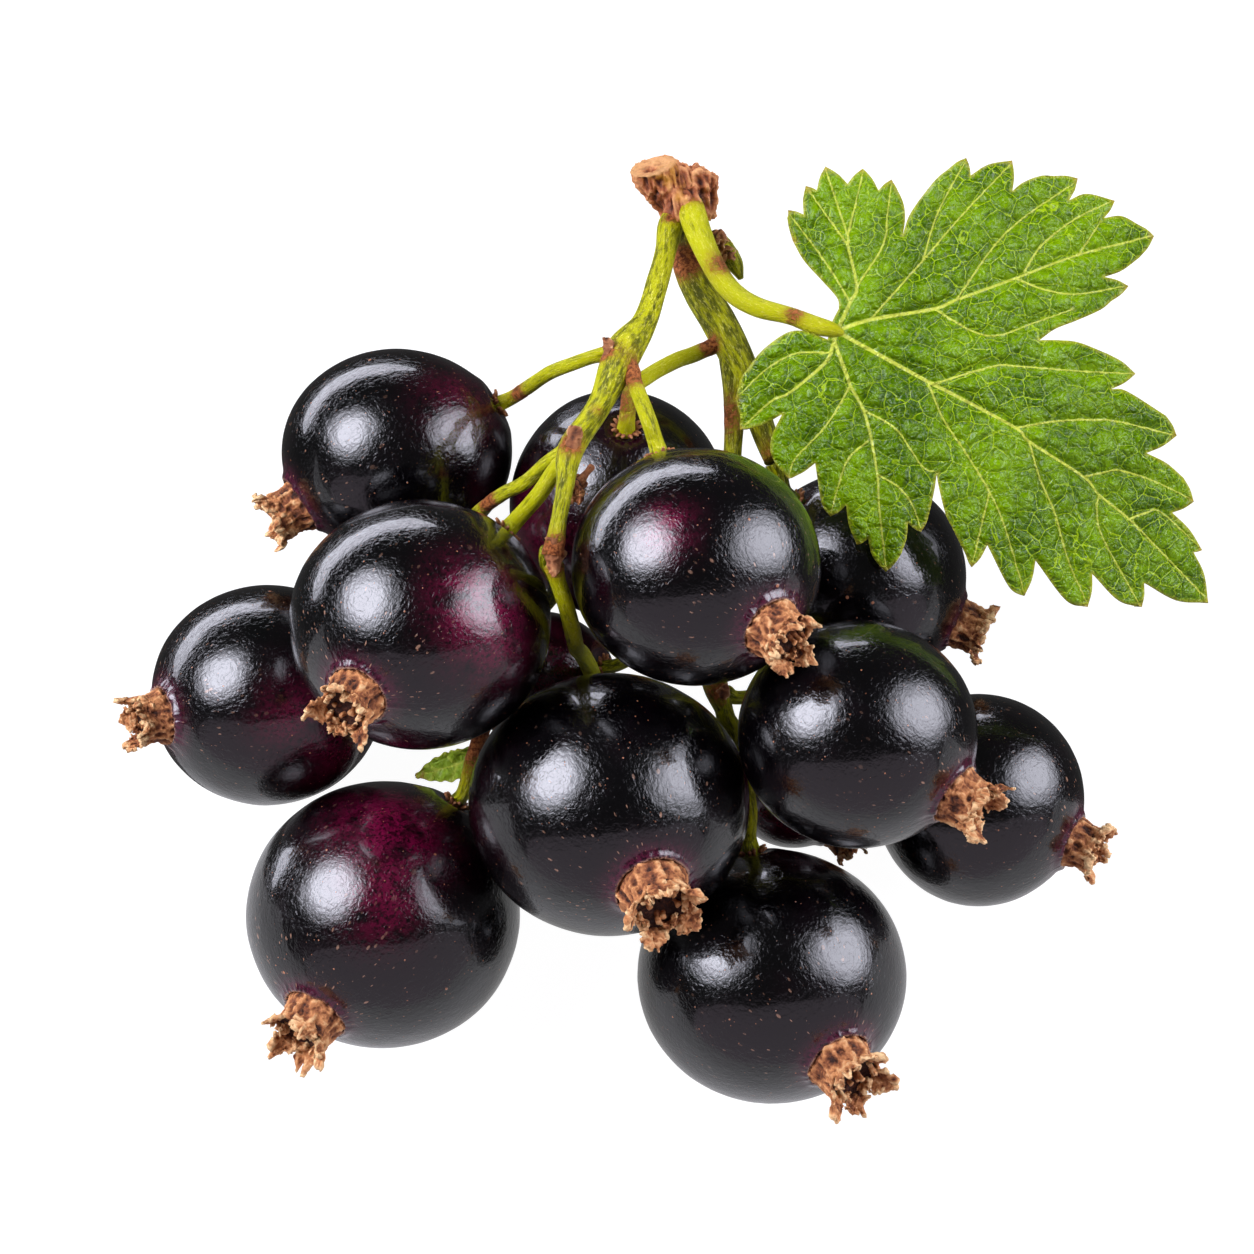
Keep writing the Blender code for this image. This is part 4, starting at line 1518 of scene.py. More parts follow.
@dataclass
class Spur:
    """The woody end of the shoot: a main stub with a cut face and a second knob, in wrinkled bark.

    Each branch has the points of its route and its radius at each of them.
    """

    stub: Branch = (
        ((1.1, 21.3, 3.3), (1.45, 20.6, 3.15), (2.1, 19.9, 2.9), (2.65, 19.2, 2.6)), (1.02, 1.05, 1.05, 1.1)
    )
    knob: Branch = (((3.55, 20.85, 3.1), (3.25, 20.3, 2.95), (2.8, 19.6, 2.6)), (0.68, 0.92, 1.0))
    web: Branch = (((1.5, 20.6, 3.0), (2.4, 20.3, 3.05), (3.3, 20.4, 3.0)), (0.8, 0.86, 0.7))
    foot: Branch = (((2.6, 19.7, 3.1), (2.6, 19.1, 3.35), (2.4, 18.5, 3.4)), (1.10, 1.02, 0.76))
    flank: Branch = (((3.3, 20.2, 2.9), (3.4, 19.4, 2.8), (3.45, 18.7, 2.7)), (0.8, 0.72, 0.5))
    knots: tuple[tuple[Way, float], ...] = (
        ((3.45, 20.5, 3.9), 0.42), ((1.6, 20.2, 4.2), 0.40), ((2.9, 19.4, 4.0), 0.34)
    )
    face: Way = (1.05, 20.98, 3.4)
    face_way: Way = (-0.28, 0.86, 0.42)
    face_radius: float = 1.35
    bark_way: Way = (-0.25, 0.95, 0.1)
    stretch: float = 0.74
    voxel: float = 0.05
    pith: float = 0.20
    seed: int = 41

    def merged(self) -> Shape:
        """All branches grown into one skin."""
        branches = (self.stub, self.knob, self.web, self.flank, self.foot)
        return remeshed(joined([tube(route, radii, 28, 0.2) for route, radii in branches]), self.voxel)

    def build(self, bench: Bench) -> None:
        """Lays the spur with its ridges, folds and cut face.

        Args:
            bench: where it is laid.
        """
        shape = self.merged()
        grain = Grain(self.seed)
        facing = unit(self.face_way)
        beyond = (shape.points - self.face) @ facing
        off_axis = np.linalg.norm((shape.points - self.face) - beyond[:, None] * facing, axis=1)
        near = off_axis < self.face_radius
        shape.points = shape.points - (np.maximum(beyond, 0) * near)[:, None] * facing
        on_face = smoothstep(beyond, -0.10, 0.02) * near
        axis = unit(self.bark_way)
        along = (shape.points @ axis)[:, None] * axis
        stretched = shape.points - self.stretch * along
        folds = grain.ridged(stretched, 0.42)
        creases = grain.ridged(stretched + 7, 0.20)
        lumps = grain.rough(shape.points, 0.9)
        knots = np.zeros(len(shape.points))
        for place, reach in self.knots:
            away = np.linalg.norm(shape.points - place, axis=1)
            knots += hump(away, reach, 0.12) - 0.9 * hump(away, 0, reach * 0.6)
        relief = 0.10 * folds + 0.065 * creases + 0.03 * grain.ridged(stretched + 3, 0.11)
        push = relief * (1 - 0.8 * on_face) + 0.13 * lumps + 0.11 * knots - 0.02
        push -= on_face * (0.5 * hump(off_axis, 0, self.pith) - 0.10 * hump(off_axis, 0.95, 0.2))
        made = shape.pushed(push)
        # painted shade: the sunk pith at the middle of the cut face is painted dark, and the relief that
        # colours the bark follows its folds, creases and knots, darker in the hollows and paler on the ridges
        hollow = on_face * hump(off_axis, 0, 0.26)
        shade_by_relief = 0.42 + 2.6 * relief + 0.3 * knots + 0.2 * on_face - 0.5 * hollow
        made.values["relief"] = np.clip(shade_by_relief, 0, 1)
        made.values["cut"] = np.clip(on_face * (0.45 + 0.55 * hump(off_axis, 0.85, 0.35)) - hollow, 0, 1)
        bench.lay("spur", made, Finish.BARK, "woody_spur")


def remeshed(shape: Shape, voxel: float) -> Shape:
    """Grows overlapping closed shapes into one skin of small even faces.

    Args:
        shape: the shapes, joined into one.
        voxel: the size of a face.

    Returns:
        The new skin, without values.
    """
    mesh = bpy.data.meshes.new("rough")
    mesh.from_pydata(shape.points.tolist(), [], shape.quads.tolist() + shape.tris.tolist())
    rough = bpy.data.objects.new("rough", mesh)
    bpy.context.scene.collection.objects.link(rough)
    modifier = rough.modifiers.new("grow", "REMESH")
    modifier.mode = "VOXEL"
    modifier.voxel_size = voxel
    made = rough.evaluated_get(bpy.context.evaluated_depsgraph_get()).to_mesh()
    points = np.zeros(len(made.vertices) * 3)
    made.vertices.foreach_get("co", points)
    corners, sides, starts = (np.zeros(len(held), int) for held in (made.loops, made.polygons, made.polygons))
    made.loops.foreach_get("vertex_index", corners)
    made.polygons.foreach_get("loop_total", sides)
    made.polygons.foreach_get("loop_start", starts)
    quads, tris = (corners[starts[sides == count][:, None] + np.arange(count)] for count in (4, 3))
    bpy.data.objects.remove(rough)
    bpy.data.meshes.remove(mesh)
    return Shape(points.reshape(-1, 3), quads, tris)


@dataclass
class Scale:
    """A small dry scale: its middle, the ways that it points and faces, its half sizes and its curl."""

    middle: Way
    way: Way
    facing: Way
    half_width: float
    half_length: float
    curl: float
    seed: int
    thickness: float = 0.09
    crease: float = 0.05
    pitting: float = 0.03

    def shape(self) -> Shape:
        """The scale as a closed, crumpled sheet.

        Returns:
            The shape, with the value relief.
        """
        rows, columns = 26, 17
        grain = Grain(self.seed)
        up, across = up_and_across(rows, columns)
        width = self.half_width * (0.7 + 0.5 * np.sin(math.pi * up**0.8)) * (1 - 0.75 * up**4)
        ragged = 1 + 0.12 * np.sin(up * 14 + self.seed)
        side = across * width * ragged
        length = (2 * up - 1) * self.half_length + 0 * across
        height = -self.curl * side**2 / self.half_width + 0.25 * self.half_length * (up**2 - 0.3)
        points = np.stack((side, length, height), axis=-1)
        edge = np.maximum(np.abs(across) ** 3 + 0 * up, up**6 + 0 * across)
        # painted highlight: the scale's edges get a higher relief, which the finish paints paler
        sheet = woven(points, {"relief": 0.30 + 0.4 * edge}, ring=False)
        crest = grain.ridged(sheet.points, 0.3)
        sheet = sheet.pushed(self.crease * crest + self.pitting * grain.at(sheet.points, 0.14))
        # painted highlight: the crests are painted paler
        sheet.values["relief"] = np.clip(sheet.values["relief"] + 0.2 * crest, 0, 1)
        facing, ahead = unit(self.facing), unit(self.way)
        ahead = unit(ahead - facing * (facing @ ahead))
        axes = np.array((np.cross(ahead, facing), ahead, facing))
        return sheet.shelled(self.thickness).placed(self.middle, axes)


@dataclass
class SmallGrowths:
    """The bud, the scales at the joints, the withered flower and the leaflet."""

    bud_route: tuple[Way, ...] = ((4.1, 17.9, 4.1), (4.4, 17.4, 4.1), (4.9, 16.6, 4.3), (5.2, 15.9, 4.5))
    bud_radii: tuple[float, ...] = (0.3, 0.42, 0.40, 0.13)
    bud_scales: int = 13
    flower_foot: Way = (-1.6, 7.2, 12.6)
    flower_head: Way = (-2.5, 6.1, 14.2)
    leaflet_route: tuple[Way, ...] = (
        (-6.9, -5.6, 6.0), (-7.6, -6.2, 5.7), (-8.6, -6.5, 5.3), (-9.6, -6.8, 4.9)
    )
    leaflet_width: float = 0.68
    leaflet_thickness: float = 0.09
    bracts_seed: int = 93

    def bud(self, bench: Bench) -> None:
        """Lays the green bud and the brown scales that wrap its foot.

        Args:
            bench: where they are laid.
        """
        core = Stalk("bud_core", self.bud_route, self.bud_radii, (), 0.5, 26, 0.07)
        bench.lay("bud_core", core.shape(), Finish.STEM, "bud")
        ahead = unit(np.subtract(self.bud_route[-1], self.bud_route[0]))
        scales = []
        for k, turn in enumerate(np.linspace(0, 5 * math.pi, self.bud_scales, endpoint=False)):
            side = unit(np.cross(ahead, (0, 0, 1)))
            out = side * math.cos(turn) + np.cross(side, ahead) * math.sin(turn)
            foot = np.array(self.bud_route[0]) + ahead * (0.05 + 0.09 * k) + out * 0.42
            curl = 0.5 + 0.2 * (k % 3)
            scale = Scale(tuple(foot), tuple(ahead + 0.5 * out), tuple(out), 0.27, 0.36, curl, seed=60 + k)
            scales.append(scale.shape())
        bench.lay("bud_scales", joined(scales), Finish.SCALE, "bud")

    def bracts(self, bench: Bench) -> None:
        """Lays the scales at the joints of the strigs.

        Args:
            bench: where they are laid.
        """
        plans = (
            ((-1.05, 12.35, 12.25), (-0.25, -0.9, 0.2), (-0.75, 0.0, 0.65), 0.30, 0.70, 0.7),
            ((-2.62, 8.10, 15.98), (-0.35, -0.9, 0.25), (-0.35, 0.1, 0.93), 0.36, 0.95, 0.9),
            ((-3.3, 3.1, 17.76), (0.05, -1.0, 0.0), (-0.1, -0.1, 1.0), 0.42, 0.86, 0.9),
            ((4.4, -2.9, 9.3), (0.3, 0.9, 0.0), (0.0, 0.0, 1.0), 0.24, 0.35, 0.8),
        )
        for number, plan in enumerate(plans, 1):
            scale = Scale(*plan, seed=self.bracts_seed + number)
            bench.lay(f"joint_scale_{number}", scale.shape(), Finish.SCALE, f"bract_{number:02d}")

    def withered(self, bench: Bench) -> None:
        """Lays the withered flower behind the front strig, on its own thin stalk.

        Args:
            bench: where it is laid.
        """
        foot, head = np.array(self.flower_foot), np.array(self.flower_head)
        ahead = unit(head - foot)
        flower = WitheredFlower(1.3, 77, base=0.30, waist=0.26, mouth=0.40, sunk=0.1, wall=0.08).shape()
        flower = flower.placed(head - ahead * 0.75, axes_along(ahead))
        route = [tuple(foot), tuple(foot + ahead * 0.6), tuple(head - ahead * 0.7)]
        stem = tube(route, (0.17, 0.16, 0.3), 14, 0.08)
        stem.values = {"relief": 0.35 + 0 * stem.values["along"], "under": 0 * stem.values["along"]}
        flower.values["relief"] = flower.values["relief"] * 0.62
        bench.lay("withered_flower", joined([flower, stem]), Finish.PAPER, "dried_flower")

    def leaflet(self, bench: Bench) -> None:
        """Lays the small folded leaf that shows low between the berries.

        Args:
            bench: where it is laid.
        """
        up, across = up_and_across(60, 29)
        line = smooth_route(self.leaflet_route, 20)
        middle = read_at(line, np.linspace(0, 1, len(line)), up.ravel())
        ahead = np.gradient(middle, axis=0)
        ahead /= np.linalg.norm(ahead, axis=1, keepdims=True)
        sideways = np.cross(ahead, (0, 0, 1))
        sideways /= np.linalg.norm(sideways, axis=1, keepdims=True)
        upward = np.cross(sideways, ahead)
        width = self.leaflet_width * np.sin(math.pi * up**0.75) ** 0.7 * (1 + 0.07 * np.sin(up * 40))
        side = across * width
        ripple = 0.05 * np.cos(up * 26 - np.abs(across) * 3) * np.abs(across)
        fold = 0.35 * np.abs(side) - 0.28 * side**2 + ripple
        points = middle[:, None] + side[..., None] * sideways[:, None] + fold[..., None] * upward[:, None]
        ribs = hump(np.sin(up * 21 - np.abs(across) * 3.2), 1.0, 0.18) * 0.5
        values = {
            "vein": np.clip(hump(side, 0, 0.06) + ribs, 0, 1),
            "bright": 0.75 + 0 * side,
            "rim": np.abs(across) ** 12 + 0 * up,
            "tip": smoothstep(up, 0.80, 0.95) + 0 * across,
        }
        sheet = woven(points, values, ring=False).flipped()
        bench.lay("small_leaf", sheet.shelled(self.leaflet_thickness), Finish.LEAF, "leaflet")

    def build(self, bench: Bench) -> None:
        """Lays all small growths.

        Args:
            bench: where they are laid.
        """
        for lay in (self.bud, self.bracts, self.withered, self.leaflet):
            lay(bench)


# ---------------------------------------------------------------- the leaf


class Corner(Enum):
    """How the leaf's edge passes a point: a tooth's tip, a notch between teeth, or a round."""

    TIP = "tip"
    NOTCH = "notch"
    ROUND = "round"


T, N, R = Corner.TIP, Corner.NOTCH, Corner.ROUND

EDGE = (
    (0.1, 1.0, N), (0.0, 1.5, R), (-0.7, 2.3, R), (-1.5, 3.2, R), (-2.0, 4.1, T), (-2.2, 5.5, T),
    (-1.5, 5.3, N), (-1.4, 6.6, T), (-0.9, 6.4, N), (-0.5, 7.5, T), (0.5, 6.7, N), (1.2, 7.4, T),
    (1.9, 6.4, N), (2.5, 6.9, T), (3.0, 5.9, R), (3.1, 5.1, R), (3.0, 4.4, N),
    (3.7, 5.9, N), (4.5, 6.9, R), (5.1, 7.4, N), (5.9, 7.9, T), (6.1, 7.1, N), (6.9, 7.6, R), (8.0, 7.8, T),
    (8.0, 6.4, N), (8.5, 6.8, R), (9.3, 7.1, R), (9.9, 7.1, N), (11.0, 7.0, T), (10.6, 6.0, N),
    (11.4, 6.3, R), (12.7, 6.0, T), (12.2, 5.2, N), (13.0, 5.3, R), (13.8, 4.9, N), (14.5, 4.4, T),
    (13.8, 3.4, N), (13.0, 2.8, R), (12.2, 2.5, N), (13.3, 2.1, T), (12.5, 1.4, N), (12.0, 1.0, R),
    (10.9, 0.5, R), (9.9, 0.1, R), (9.2, -0.4, N), (10.1, -0.4, R), (11.0, -0.5, R), (12.3, -1.0, N),
    (13.6, -1.9, T), (12.5, -2.6, N), (13.2, -2.7, R), (15.0, -3.8, N), (15.5, -4.7, T), (14.1, -5.5, N),
    (15.8, -6.6, N), (16.3, -7.7, T), (15.3, -8.2, N), (16.7, -9.9, T), (16.3, -10.0, N), (16.8, -11.0, R),
    (17.0, -12.3, T), (15.5, -12.2, R), (14.0, -11.4, N), (13.9, -12.5, T), (12.8, -12.2, R),
    (11.6, -11.0, N), (11.4, -12.5, T), (10.4, -12.2, R), (9.0, -10.4, N), (8.5, -12.0, T), (7.8, -11.6, R),
    (6.8, -9.7, N), (6.1, -10.7, T), (5.2, -8.9, R), (4.9, -8.3, R), (4.6, -7.1, R), (4.5, -6.5, N),
    (4.4, -7.2, R), (4.2, -8.1, N), (3.8, -9.1, T), (3.2, -8.7, N), (2.9, -10.1, N), (2.2, -10.9, T),
    (1.6, -10.2, R), (1.4, -9.4, N), (0.9, -9.7, T), (0.4, -7.9, N), (-0.3, -8.4, T), (-0.7, -7.8, R),
    (-1.0, -6.0, N), (-2.2, -6.7, T), (-2.9, -5.8, R), (-3.0, -4.9, R), (-2.5, -3.8, N),
    (-4.4, -4.5, T), (-4.4, -3.8, R), (-4.6, -3.1, T), (-4.3, -2.1, R), (-4.1, -1.8, N), (-3.4, -0.9, R),
    (-2.3, -0.1, R), (-1.5, 0.0, R), (-0.9, -0.2, R), (-0.4, -0.4, N),
)
"""The leaf's edge from its base, clockwise, measured from the base."""

MAIN_VEINS = (
    ((0.0, 0.0), (0.6, 1.3), (0.9, 2.0), (0.5, 3.9), (0.5, 4.3), (-0.5, 7.4)),
    ((0.0, 0.0), (1.5, 0.5), (4.4, 1.0), (5.4, 1.4), (8.1, 2.4), (11.0, 3.5), (14.4, 4.4)),
    (
        (0.0, 0.0), (0.3, -0.2), (4.1, -2.3), (5.1, -2.8), (8.1, -4.4), (8.7, -5.0), (11.2, -6.6),
        (11.9, -7.4), (13.3, -8.5), (14.2, -9.4), (16.9, -12.1),
    ),
    ((0.0, 0.0), (-0.2, -0.2), (0.5, -2.2), (0.6, -2.5), (1.3, -3.9), (1.8, -6.4), (1.9, -8.0), (2.2, -10.7)),
    ((0.0, 0.0), (-0.2, -0.7), (-0.5, -1.4), (-1.5, -2.3), (-2.3, -2.9), (-3.0, -3.2), (-4.3, -4.4)),
)
SIDE_VEINS = (
    ((0.5, 4.3), (1.2, 7.2)),
    ((0.9, 2.0), (2.1, 3.9), (2.3, 5.3), (2.5, 6.8)),
    ((0.6, 1.3), (-0.5, 3.1), (-2.2, 5.4)),
    ((0.5, 3.9), (-1.2, 6.3)),
    ((1.5, 0.5), (3.9, 3.2), (5.9, 5.5), (8.0, 7.7)),
    ((3.9, 3.2), (4.6, 5.4), (5.9, 7.8)),
    ((5.4, 1.4), (7.7, 4.5), (11.0, 6.9)),
    ((8.5, 2.7), (9.3, 3.9), (10.8, 5.1), (12.6, 6.0)),
    ((11.0, 3.5), (12.0, 5.0)),
    ((4.4, 1.0), (6.1, 0.0), (7.3, -0.2), (9.0, 0.4), (10.7, 1.0)),
    ((8.1, 2.4), (9.4, 1.9), (10.9, 1.7), (13.2, 2.1)),
    ((4.4, -2.4), (7.1, -1.6), (8.2, -1.6), (11.0, -1.8), (13.5, -1.9)),
    ((8.1, -4.4), (9.8, -4.1), (11.6, -4.0), (12.9, -4.1), (15.4, -4.7)),
    ((11.2, -6.6), (12.1, -6.4), (12.9, -6.3), (14.5, -6.8), (16.2, -7.6)),
    ((13.3, -8.5), (14.1, -8.2), (14.8, -8.2), (16.6, -9.8)),
    ((4.1, -2.3), (4.8, -4.0), (5.8, -5.5), (6.9, -7.3), (7.6, -8.9), (8.5, -11.9)),
    ((6.9, -7.3), (6.1, -10.6)),
    ((8.7, -5.0), (9.2, -6.7), (9.9, -8.3), (10.5, -10.4), (11.4, -12.4)),
    ((11.9, -7.4), (11.8, -8.1), (12.1, -9.4), (13.8, -12.4)),
    ((0.6, -2.5), (-0.5, -4.3), (-1.9, -5.8), (-2.2, -6.7)),
    ((1.4, -5.0), (0.5, -5.8), (0.0, -7.2), (-0.3, -8.3)),
    ((1.2, -3.6), (2.6, -4.4), (3.4, -5.5), (3.9, -6.2), (4.5, -6.4)),
    ((1.8, -6.5), (2.8, -7.1), (3.4, -7.9), (3.8, -9.0)),
    ((-0.4, -1.0), (-1.7, -1.0), (-2.5, -1.3), (-3.4, -1.9), (-4.4, -2.9)),
)


def to_line(points: np.ndarray, line: np.ndarray) -> tuple[np.ndarray, np.ndarray]:
    """How far flat points lie from a line.

    Args:
        points: the points, one per row.
        line: the line's points.

    Returns:
        The distance of each point, and the share of the line's points passed at the nearest place.
    """
    best, share = np.full(len(points), 1e9), np.zeros(len(points))
    for k, (start, stop) in enumerate(zip(line, line[1:])):
        span = stop - start
        t = np.clip((points - start) @ span / max(span @ span, 1e-9), 0, 1)
        away = np.linalg.norm(points - start - t[:, None] * span, axis=1)
        nearer = away < best
        best[nearer], share[nearer] = away[nearer], ((k + t) / (len(line) - 1))[nearer]
    return best, share


@dataclass
class VeinKind:
    """One order of veins: its lines, its half width where it starts and ends, and the depth of its groove."""

    lines: tuple[tuple[tuple[float, float], ...], ...]
    start: float
    end: float
    depth: float


@dataclass
class LeafBlade:
    """The blade: five toothed lobes, sunk veins, quilted skin between them and a thin curled edge."""

    base: tuple[float, float] = (9.5, 13.4)
    summit: tuple[float, float] = (1.5, -6.0)
    height: float = 10.65
    droop: float = 0.012
    sag_start: float = 4.0
    sag: float = 0.010
    spacing: float = 0.15
    thickness: float = 0.20
    tooth_bulge: float = 0.06
    vein_step: float = 0.11
    vein_rows: tuple[float, ...] = (0, -0.75, 0.75, -1.3, 1.3, -2.6, 2.6)
    too_near: float = 0.028
    quilt_rise: float = 0.24
    quilt_reach: float = 0.65
    pad_rises: tuple[float, float] = (0.085, 0.045)
    pad_widths: tuple[float, float] = (1.10, 0.55)
    wrinkle_rises: tuple[float, float] = (0.040, 0.012)
    edge_wave: float = 0.14
    vein_rise: float = 0.03
    tip_brown: float = 0.7
    tip_reach: float = 0.22
    sunk: float = 0.08
    seed: int = 23
    kinds: tuple[VeinKind, ...] = (
        VeinKind(MAIN_VEINS, 0.088, 0.030, 0.17), VeinKind(SIDE_VEINS, 0.042, 0.022, 0.12)
    )

    def outline(self) -> np.ndarray:
        """The edge with rounded teeth, cut into short stretches.

        Returns:
            The points of the closed edge, one per row.
        """
        starts = [k for k, point in enumerate(EDGE) if point[2] is not Corner.ROUND]
        pieces = []
        for here, following in zip(starts, [*starts[1:], starts[0] + len(EDGE)]):
            points = np.array([EDGE[k % len(EDGE)][:2] for k in range(here, following + 1)])
            if len(points) == 2:
                span = points[1] - points[0]
                outward = np.array((-span[1], span[0]))
                points = np.array((points[0], points.mean(0) + self.tooth_bulge * outward, points[1]))
            fine = smooth_route(points, 8)
            lengths = lengths_along(fine)
            count = max(2, round(lengths[-1] / self.spacing))
            pieces.append(read_at(fine, lengths, np.linspace(0, lengths[-1], count, endpoint=False)))
        return np.vstack(pieces)

    def beside_veins(self) -> np.ndarray:
        """Points on and beside every vein, so that the mesh follows them.

        Returns:
            The flat points, none of them doubled.
        """
        rows = []
        for kind in self.kinds:
            for line in kind.lines:
                fine = smooth_route(line, 10)
                lengths = lengths_along(fine)
                at = np.arange(0, lengths[-1], self.vein_step)
                middle = read_at(fine, lengths, at)
                ahead = np.gradient(middle, axis=0)
                ahead /= np.linalg.norm(ahead, axis=1, keepdims=True)
                side = np.column_stack((-ahead[:, 1], ahead[:, 0]))
                width = kind.start + (kind.end - kind.start) * (at / lengths[-1])
                for step in self.vein_rows:
                    rows.append(middle + side * (step * width)[:, None])
        points = np.vstack(rows)
        _, kept = np.unique(np.round(points / self.too_near).astype(int), axis=0, return_index=True)
        return points[np.sort(kept)]

    def nearest(self, flat: np.ndarray) -> tuple[np.ndarray, np.ndarray, np.ndarray]:
        """How the veins pass each point.

        Args:
            flat: the flat points of the blade.

        Returns:
            The colour of the veins, the depth of their grooves and the distance to the nearest one.
        """
        vein, groove, near = np.zeros(len(flat)), np.zeros(len(flat)), np.full(len(flat), 9.0)
        for kind in self.kinds:
            for line in kind.lines:
                away, share = to_line(flat, smooth_route(line, 5))
                width = kind.start + (kind.end - kind.start) * share
                vein = np.maximum(vein, 1 - smoothstep(away / width, 0.70, 1.25))
                deep = kind.depth * (0.45 + 0.55 * width / kind.start)
                groove = np.maximum(groove, deep * hump(away, 0, 0.16 + 1.2 * width))
                near = np.minimum(near, away)
        return vein, groove, near

    def fill(self, edge: np.ndarray) -> tuple[np.ndarray, np.ndarray]:
        """Fills the outline with an even mesh that follows the veins.

        Args:
            edge: the outline.

        Returns:
            The flat points and the triangles between them.
        """
        low, high = edge.min(0), edge.max(0)
        rows = np.arange(low[1], high[1], self.spacing * 0.87)
        columns = np.arange(low[0], high[0], self.spacing)
        x, y = np.meshgrid(columns, rows)
        x = x + (np.arange(len(rows)) % 2 * self.spacing / 2)[:, None]
        inner = np.column_stack((x.ravel(), y.ravel()))
        inner = inner[self.nearest(inner)[2] > 0.20]
        closed = np.vstack((edge, edge[:1]))
        beside = self.beside_veins()
        inner = inner[to_line(inner, closed)[0] > self.spacing * 0.6]
        inner = np.vstack((inner, beside[to_line(beside, closed)[0] > 0.05]))
        given = [Vector(point) for point in np.vstack((edge, inner))]
        points, _, faces, *_ = delaunay_2d_cdt(given, [], [list(range(len(edge)))], 1, 1e-5)
        used = sorted({index for face in faces for index in face})
        order = {index: k for k, index in enumerate(used)}
        flat = np.array([points[index][:] for index in used])
        return flat, np.array([[order[index] for index in face] for face in faces])

    def swelling(self, flat: np.ndarray, near: np.ndarray) -> np.ndarray:
        """How far the skin stands up between the veins.

        Args:
            flat: the flat points of the blade.
            near: the distance of each to the nearest vein.

        Returns:
            The height of the quilting, the pads of the net and the wrinkles on them.
        """
        grain = Grain(self.seed)
        solid = np.column_stack((flat, 0 * near))
        warp = np.column_stack([grain.at(solid + k, 1.1) for k in (0.0, 9.0, 0.0)]) * (1, 1, 0)
        cells = (solid + 0.25 * warp, solid + 0.12 * warp + 40.0)
        pillow = self.quilt_rise * (1 - np.exp(-((near / self.quilt_reach) ** 2)))
        quilt = pillow * (0.75 + 0.5 * grain.at(solid, 2.3))
        pads = np.zeros(len(flat))
        for rise, width, place in zip(self.pad_rises, self.pad_widths, cells):
            pads += rise * smoothstep(grain.cells(place, width), 0.0, 0.40)
        broad, small = self.wrinkle_rises
        wrinkles = broad * grain.at(solid, 0.55) + small * grain.at(solid, 0.22)
        return quilt + (pads + wrinkles) * smoothstep(near, 0.08, 0.35)

    def tips(self, flat: np.ndarray) -> np.ndarray:
        """Where the teeth turn brown.

        Args:
            flat: the flat points of the blade.

        Returns:
            A value near 1 at the tip of each tooth.
        """
        brown = np.zeros(len(flat))
        for x, y, kind in EDGE:
            if kind is Corner.TIP:
                brown += self.tip_brown * hump(np.hypot(flat[:, 0] - x, flat[:, 1] - y), 0, self.tip_reach)
        return np.clip(brown, 0, 1)

    def build(self, bench: Bench) -> None:
        """Lays the blade with its veins, quilting and edge.

        Args:
            bench: where it is laid.
        """
        edge = self.outline()
        flat, tris = self.fill(edge)
        LOG.info("leaf mesh: %d points", len(flat))
        vein, groove, near = self.nearest(flat)
        to_edge, _ = to_line(flat, np.vstack((edge, edge[:1])))
        beyond = np.maximum(0, flat[:, 0] - self.sag_start)
        top = self.height - self.droop * ((flat - self.summit) ** 2).sum(1) - self.sag * beyond**2
        top = top - groove + self.vein_rise * vein + smoothstep(to_edge, 0.0, 0.5) * self.swelling(flat, near)
        wave = Grain(self.seed).at(np.column_stack((flat, 0 * near)), 2.6)
        wave = wave * (1 - smoothstep(to_edge, 0.0, 1.8))
        top = top + self.edge_wave * wave - self.sunk
        values = {
            "vein": vein * (0.25 + 0.75 * smoothstep(to_edge, 0.0, 0.25)),
            "bright": 0.16 * hump(near, 0, 0.16),
            "rim": 1 - smoothstep(to_edge, 0.02, 0.12),
            "tip": self.tips(flat),
        }
        shape = Shape(np.column_stack((flat + self.base, top)), tris=tris, values=values)
        if shape.normals()[:, 2].mean() < 0:
            shape = shape.flipped()
        thick = self.thickness * (0.35 + 0.65 * smoothstep(to_edge, 0.0, 0.35)) + 0.25 * hump(near, 0, 0.12)
        bench.lay("leaf", shape.shelled(thick), Finish.LEAF, "leaf_blade")


# ---------------------------------------------------------------- studio


@dataclass
class Softbox:
    """A soft light: the way to it from the sprig, its distance, its size and its brightness."""

    name: str
    way: Way
    distance: float
    size: tuple[float, float]
    brightness: float
    colour: Colour

    def build(self) -> None:
        """Hangs the light, an ellipse, so that it looks at the sprig."""
        light = bpy.data.lights.new(self.name, "AREA")
        light.shape = "ELLIPSE"
        light.size, light.size_y = self.size
        area = self.size[0] * self.size[1] * math.pi / 4
        light.energy = self.brightness * area * math.pi
        light.color = self.colour
        lamp = bpy.data.objects.new(self.name, light)
        ahead = Vector(self.way).normalized()
        lamp.location = ahead * self.distance
        lamp.rotation_euler = ahead.to_track_quat("Z", "Y").to_euler()
        bpy.context.scene.collection.objects.link(lamp)


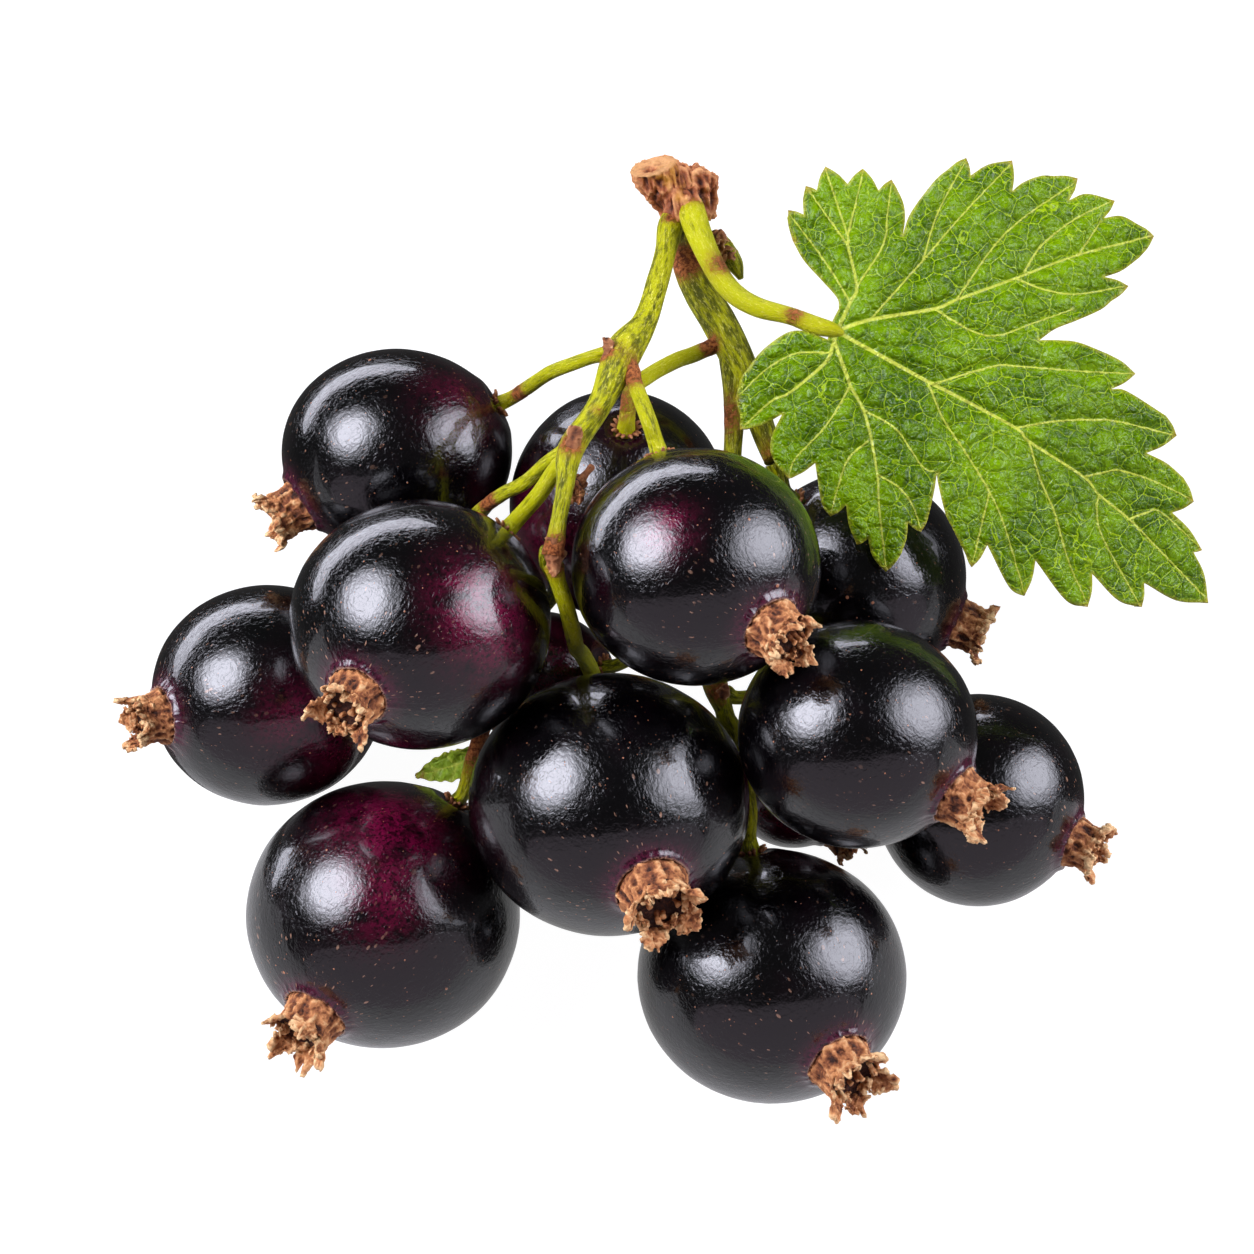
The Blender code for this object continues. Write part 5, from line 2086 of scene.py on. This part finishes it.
@dataclass
class Studio:
    """The pale floor, the lights and the camera that looks straight down."""

    camera_height: float = 0.600
    view_width: float = 0.057684
    sensor: float = 36.0
    floor_size: float = 3.0
    sheen_edge: float = -0.008
    sheen_glow: float = 0.34
    sky: float = 0.05
    cool: Colour = (0.87, 0.875, 1.0)
    rose: Colour = (0.98, 0.84, 1.0)
    inner_size: float = 0.28
    nest_gap: float = 0.004

    def board(self, name: str, back: float, sunk: float, finish: bpy.types.Material) -> bpy.types.Object:
        """Lays one flat board of the stage.

        Args:
            name: its name.
            back: how far it reaches to the rear.
            sunk: how far it lies below the sprig.
            finish: its material.

        Returns:
            The board.
        """
        half = self.floor_size / 2
        mesh = bpy.data.meshes.new(name)
        corners = [(-half, -half, 0), (half, -half, 0), (half, back, 0), (-half, back, 0)]
        mesh.from_pydata(corners, [], [(0, 1, 2, 3)])
        mesh.materials.append(finish)
        made = bpy.data.objects.new(name, mesh)
        made.location.z = -sunk
        bpy.context.scene.collection.objects.link(made)
        return made

    def floor(self) -> None:
        """Lays the floor, which keeps out of the gloss, and the front board, which only shows in it."""
        floor = self.board("floor", self.floor_size / 2, 0.00005, FloorFinish().material())
        floor.visible_glossy = False
        finish = FloorFinish("front_board", glow=self.sheen_glow).material()
        sheen = self.board("front_board", self.sheen_edge, 0.00004, finish)
        sheen.visible_camera = sheen.visible_diffuse = False
        sheen.visible_shadow = sheen.visible_transmission = False

    def nested(
        self, name: str, way: Way, distance: float, size: tuple[float, float], steps: Sequence[float]
    ) -> list[Softbox]:
        """A softbox that is brightest in its middle, as several lights within one another.

        Args:
            name: what its lights are called.
            way: the way to it from the sprig.
            distance: its distance.
            size: the size of the widest light.
            steps: the brightness that each light adds, from the widest to the smallest.

        Returns:
            The lights.
        """
        lights = []
        for k, step in enumerate(steps):
            share = 1 - (1 - self.inner_size) * k / len(steps)
            wide = (size[0] * share, size[1] * share)
            near = distance - self.nest_gap * k
            lights.append(Softbox(f"{name}_softbox_{k}", way, near, wide, step, self.cool))
        return lights

    def lights(self) -> None:
        """Hangs the lights and sets the dim sky."""
        for softbox in (
            *self.nested("left", (-0.70, 0.35, 0.61), 0.56, (0.64, 0.62), (1.3, 2.8, 4.2, 5.6)),
            *self.nested("right", (0.86, 0.32, 0.40), 0.60, (0.62, 0.80), (2.2, 2.6, 3.0)),
            Softbox("rim_strip", (-0.50, 0.72, -0.34), 0.50, (0.86, 0.17), 6.0, self.cool),
            Softbox("front_panel", (0.10, -0.88, 0.42), 0.55, (2.4, 0.86), 0.46, self.rose),
        ):
            softbox.build()
        world = bpy.data.worlds.new("studio")
        world.use_nodes = True
        backdrop = world.node_tree.nodes["Background"].inputs
        backdrop["Color"].default_value = (1.0, 1.0, 1.0, 1.0)
        backdrop["Strength"].default_value = self.sky
        bpy.context.scene.world = world

    def camera(self, shift: np.ndarray) -> None:
        """Hangs the camera over the design frame's origin.

        Args:
            shift: where that origin lies.
        """
        data = bpy.data.cameras.new("camera")
        data.sensor_width = self.sensor
        data.lens = self.sensor * self.camera_height / self.view_width
        data.clip_start, data.clip_end = 0.01, 10.0
        camera = bpy.data.objects.new("camera", data)
        camera.location = (shift[0] * MM, shift[1] * MM, self.camera_height)
        bpy.context.scene.collection.objects.link(camera)
        bpy.context.scene.camera = camera

    def build(self, shift: np.ndarray) -> None:
        """Sets up the floor, the lights and the camera.

        Args:
            shift: where the design frame's origin lies.
        """
        self.floor()
        self.lights()
        self.camera(shift)
        bpy.context.scene.view_settings.view_transform = "Standard"


def main() -> None:
    """Builds the sprig and its studio, in order."""
    logging.basicConfig(level=logging.INFO, format="%(name)s: %(message)s")
    bench = Bench()
    Studio().build(bench.shift)
    LOG.info("studio is up, design frame shifted by %s mm", np.round(bench.shift, 3))
    for berry in BERRIES:
        berry.build(bench)
        LOG.info("berry %d with its crown", berry.number)
    StalkWork().build(bench)
    LOG.info("strigs and stalks")
    Spur().build(bench)
    SmallGrowths().build(bench)
    LOG.info("spur, bud, scales, withered flower and small leaf")
    LeafBlade().build(bench)
    LOG.info("leaf; %d pieces in all", bench.made)


if __name__ == "__main__":
    main()
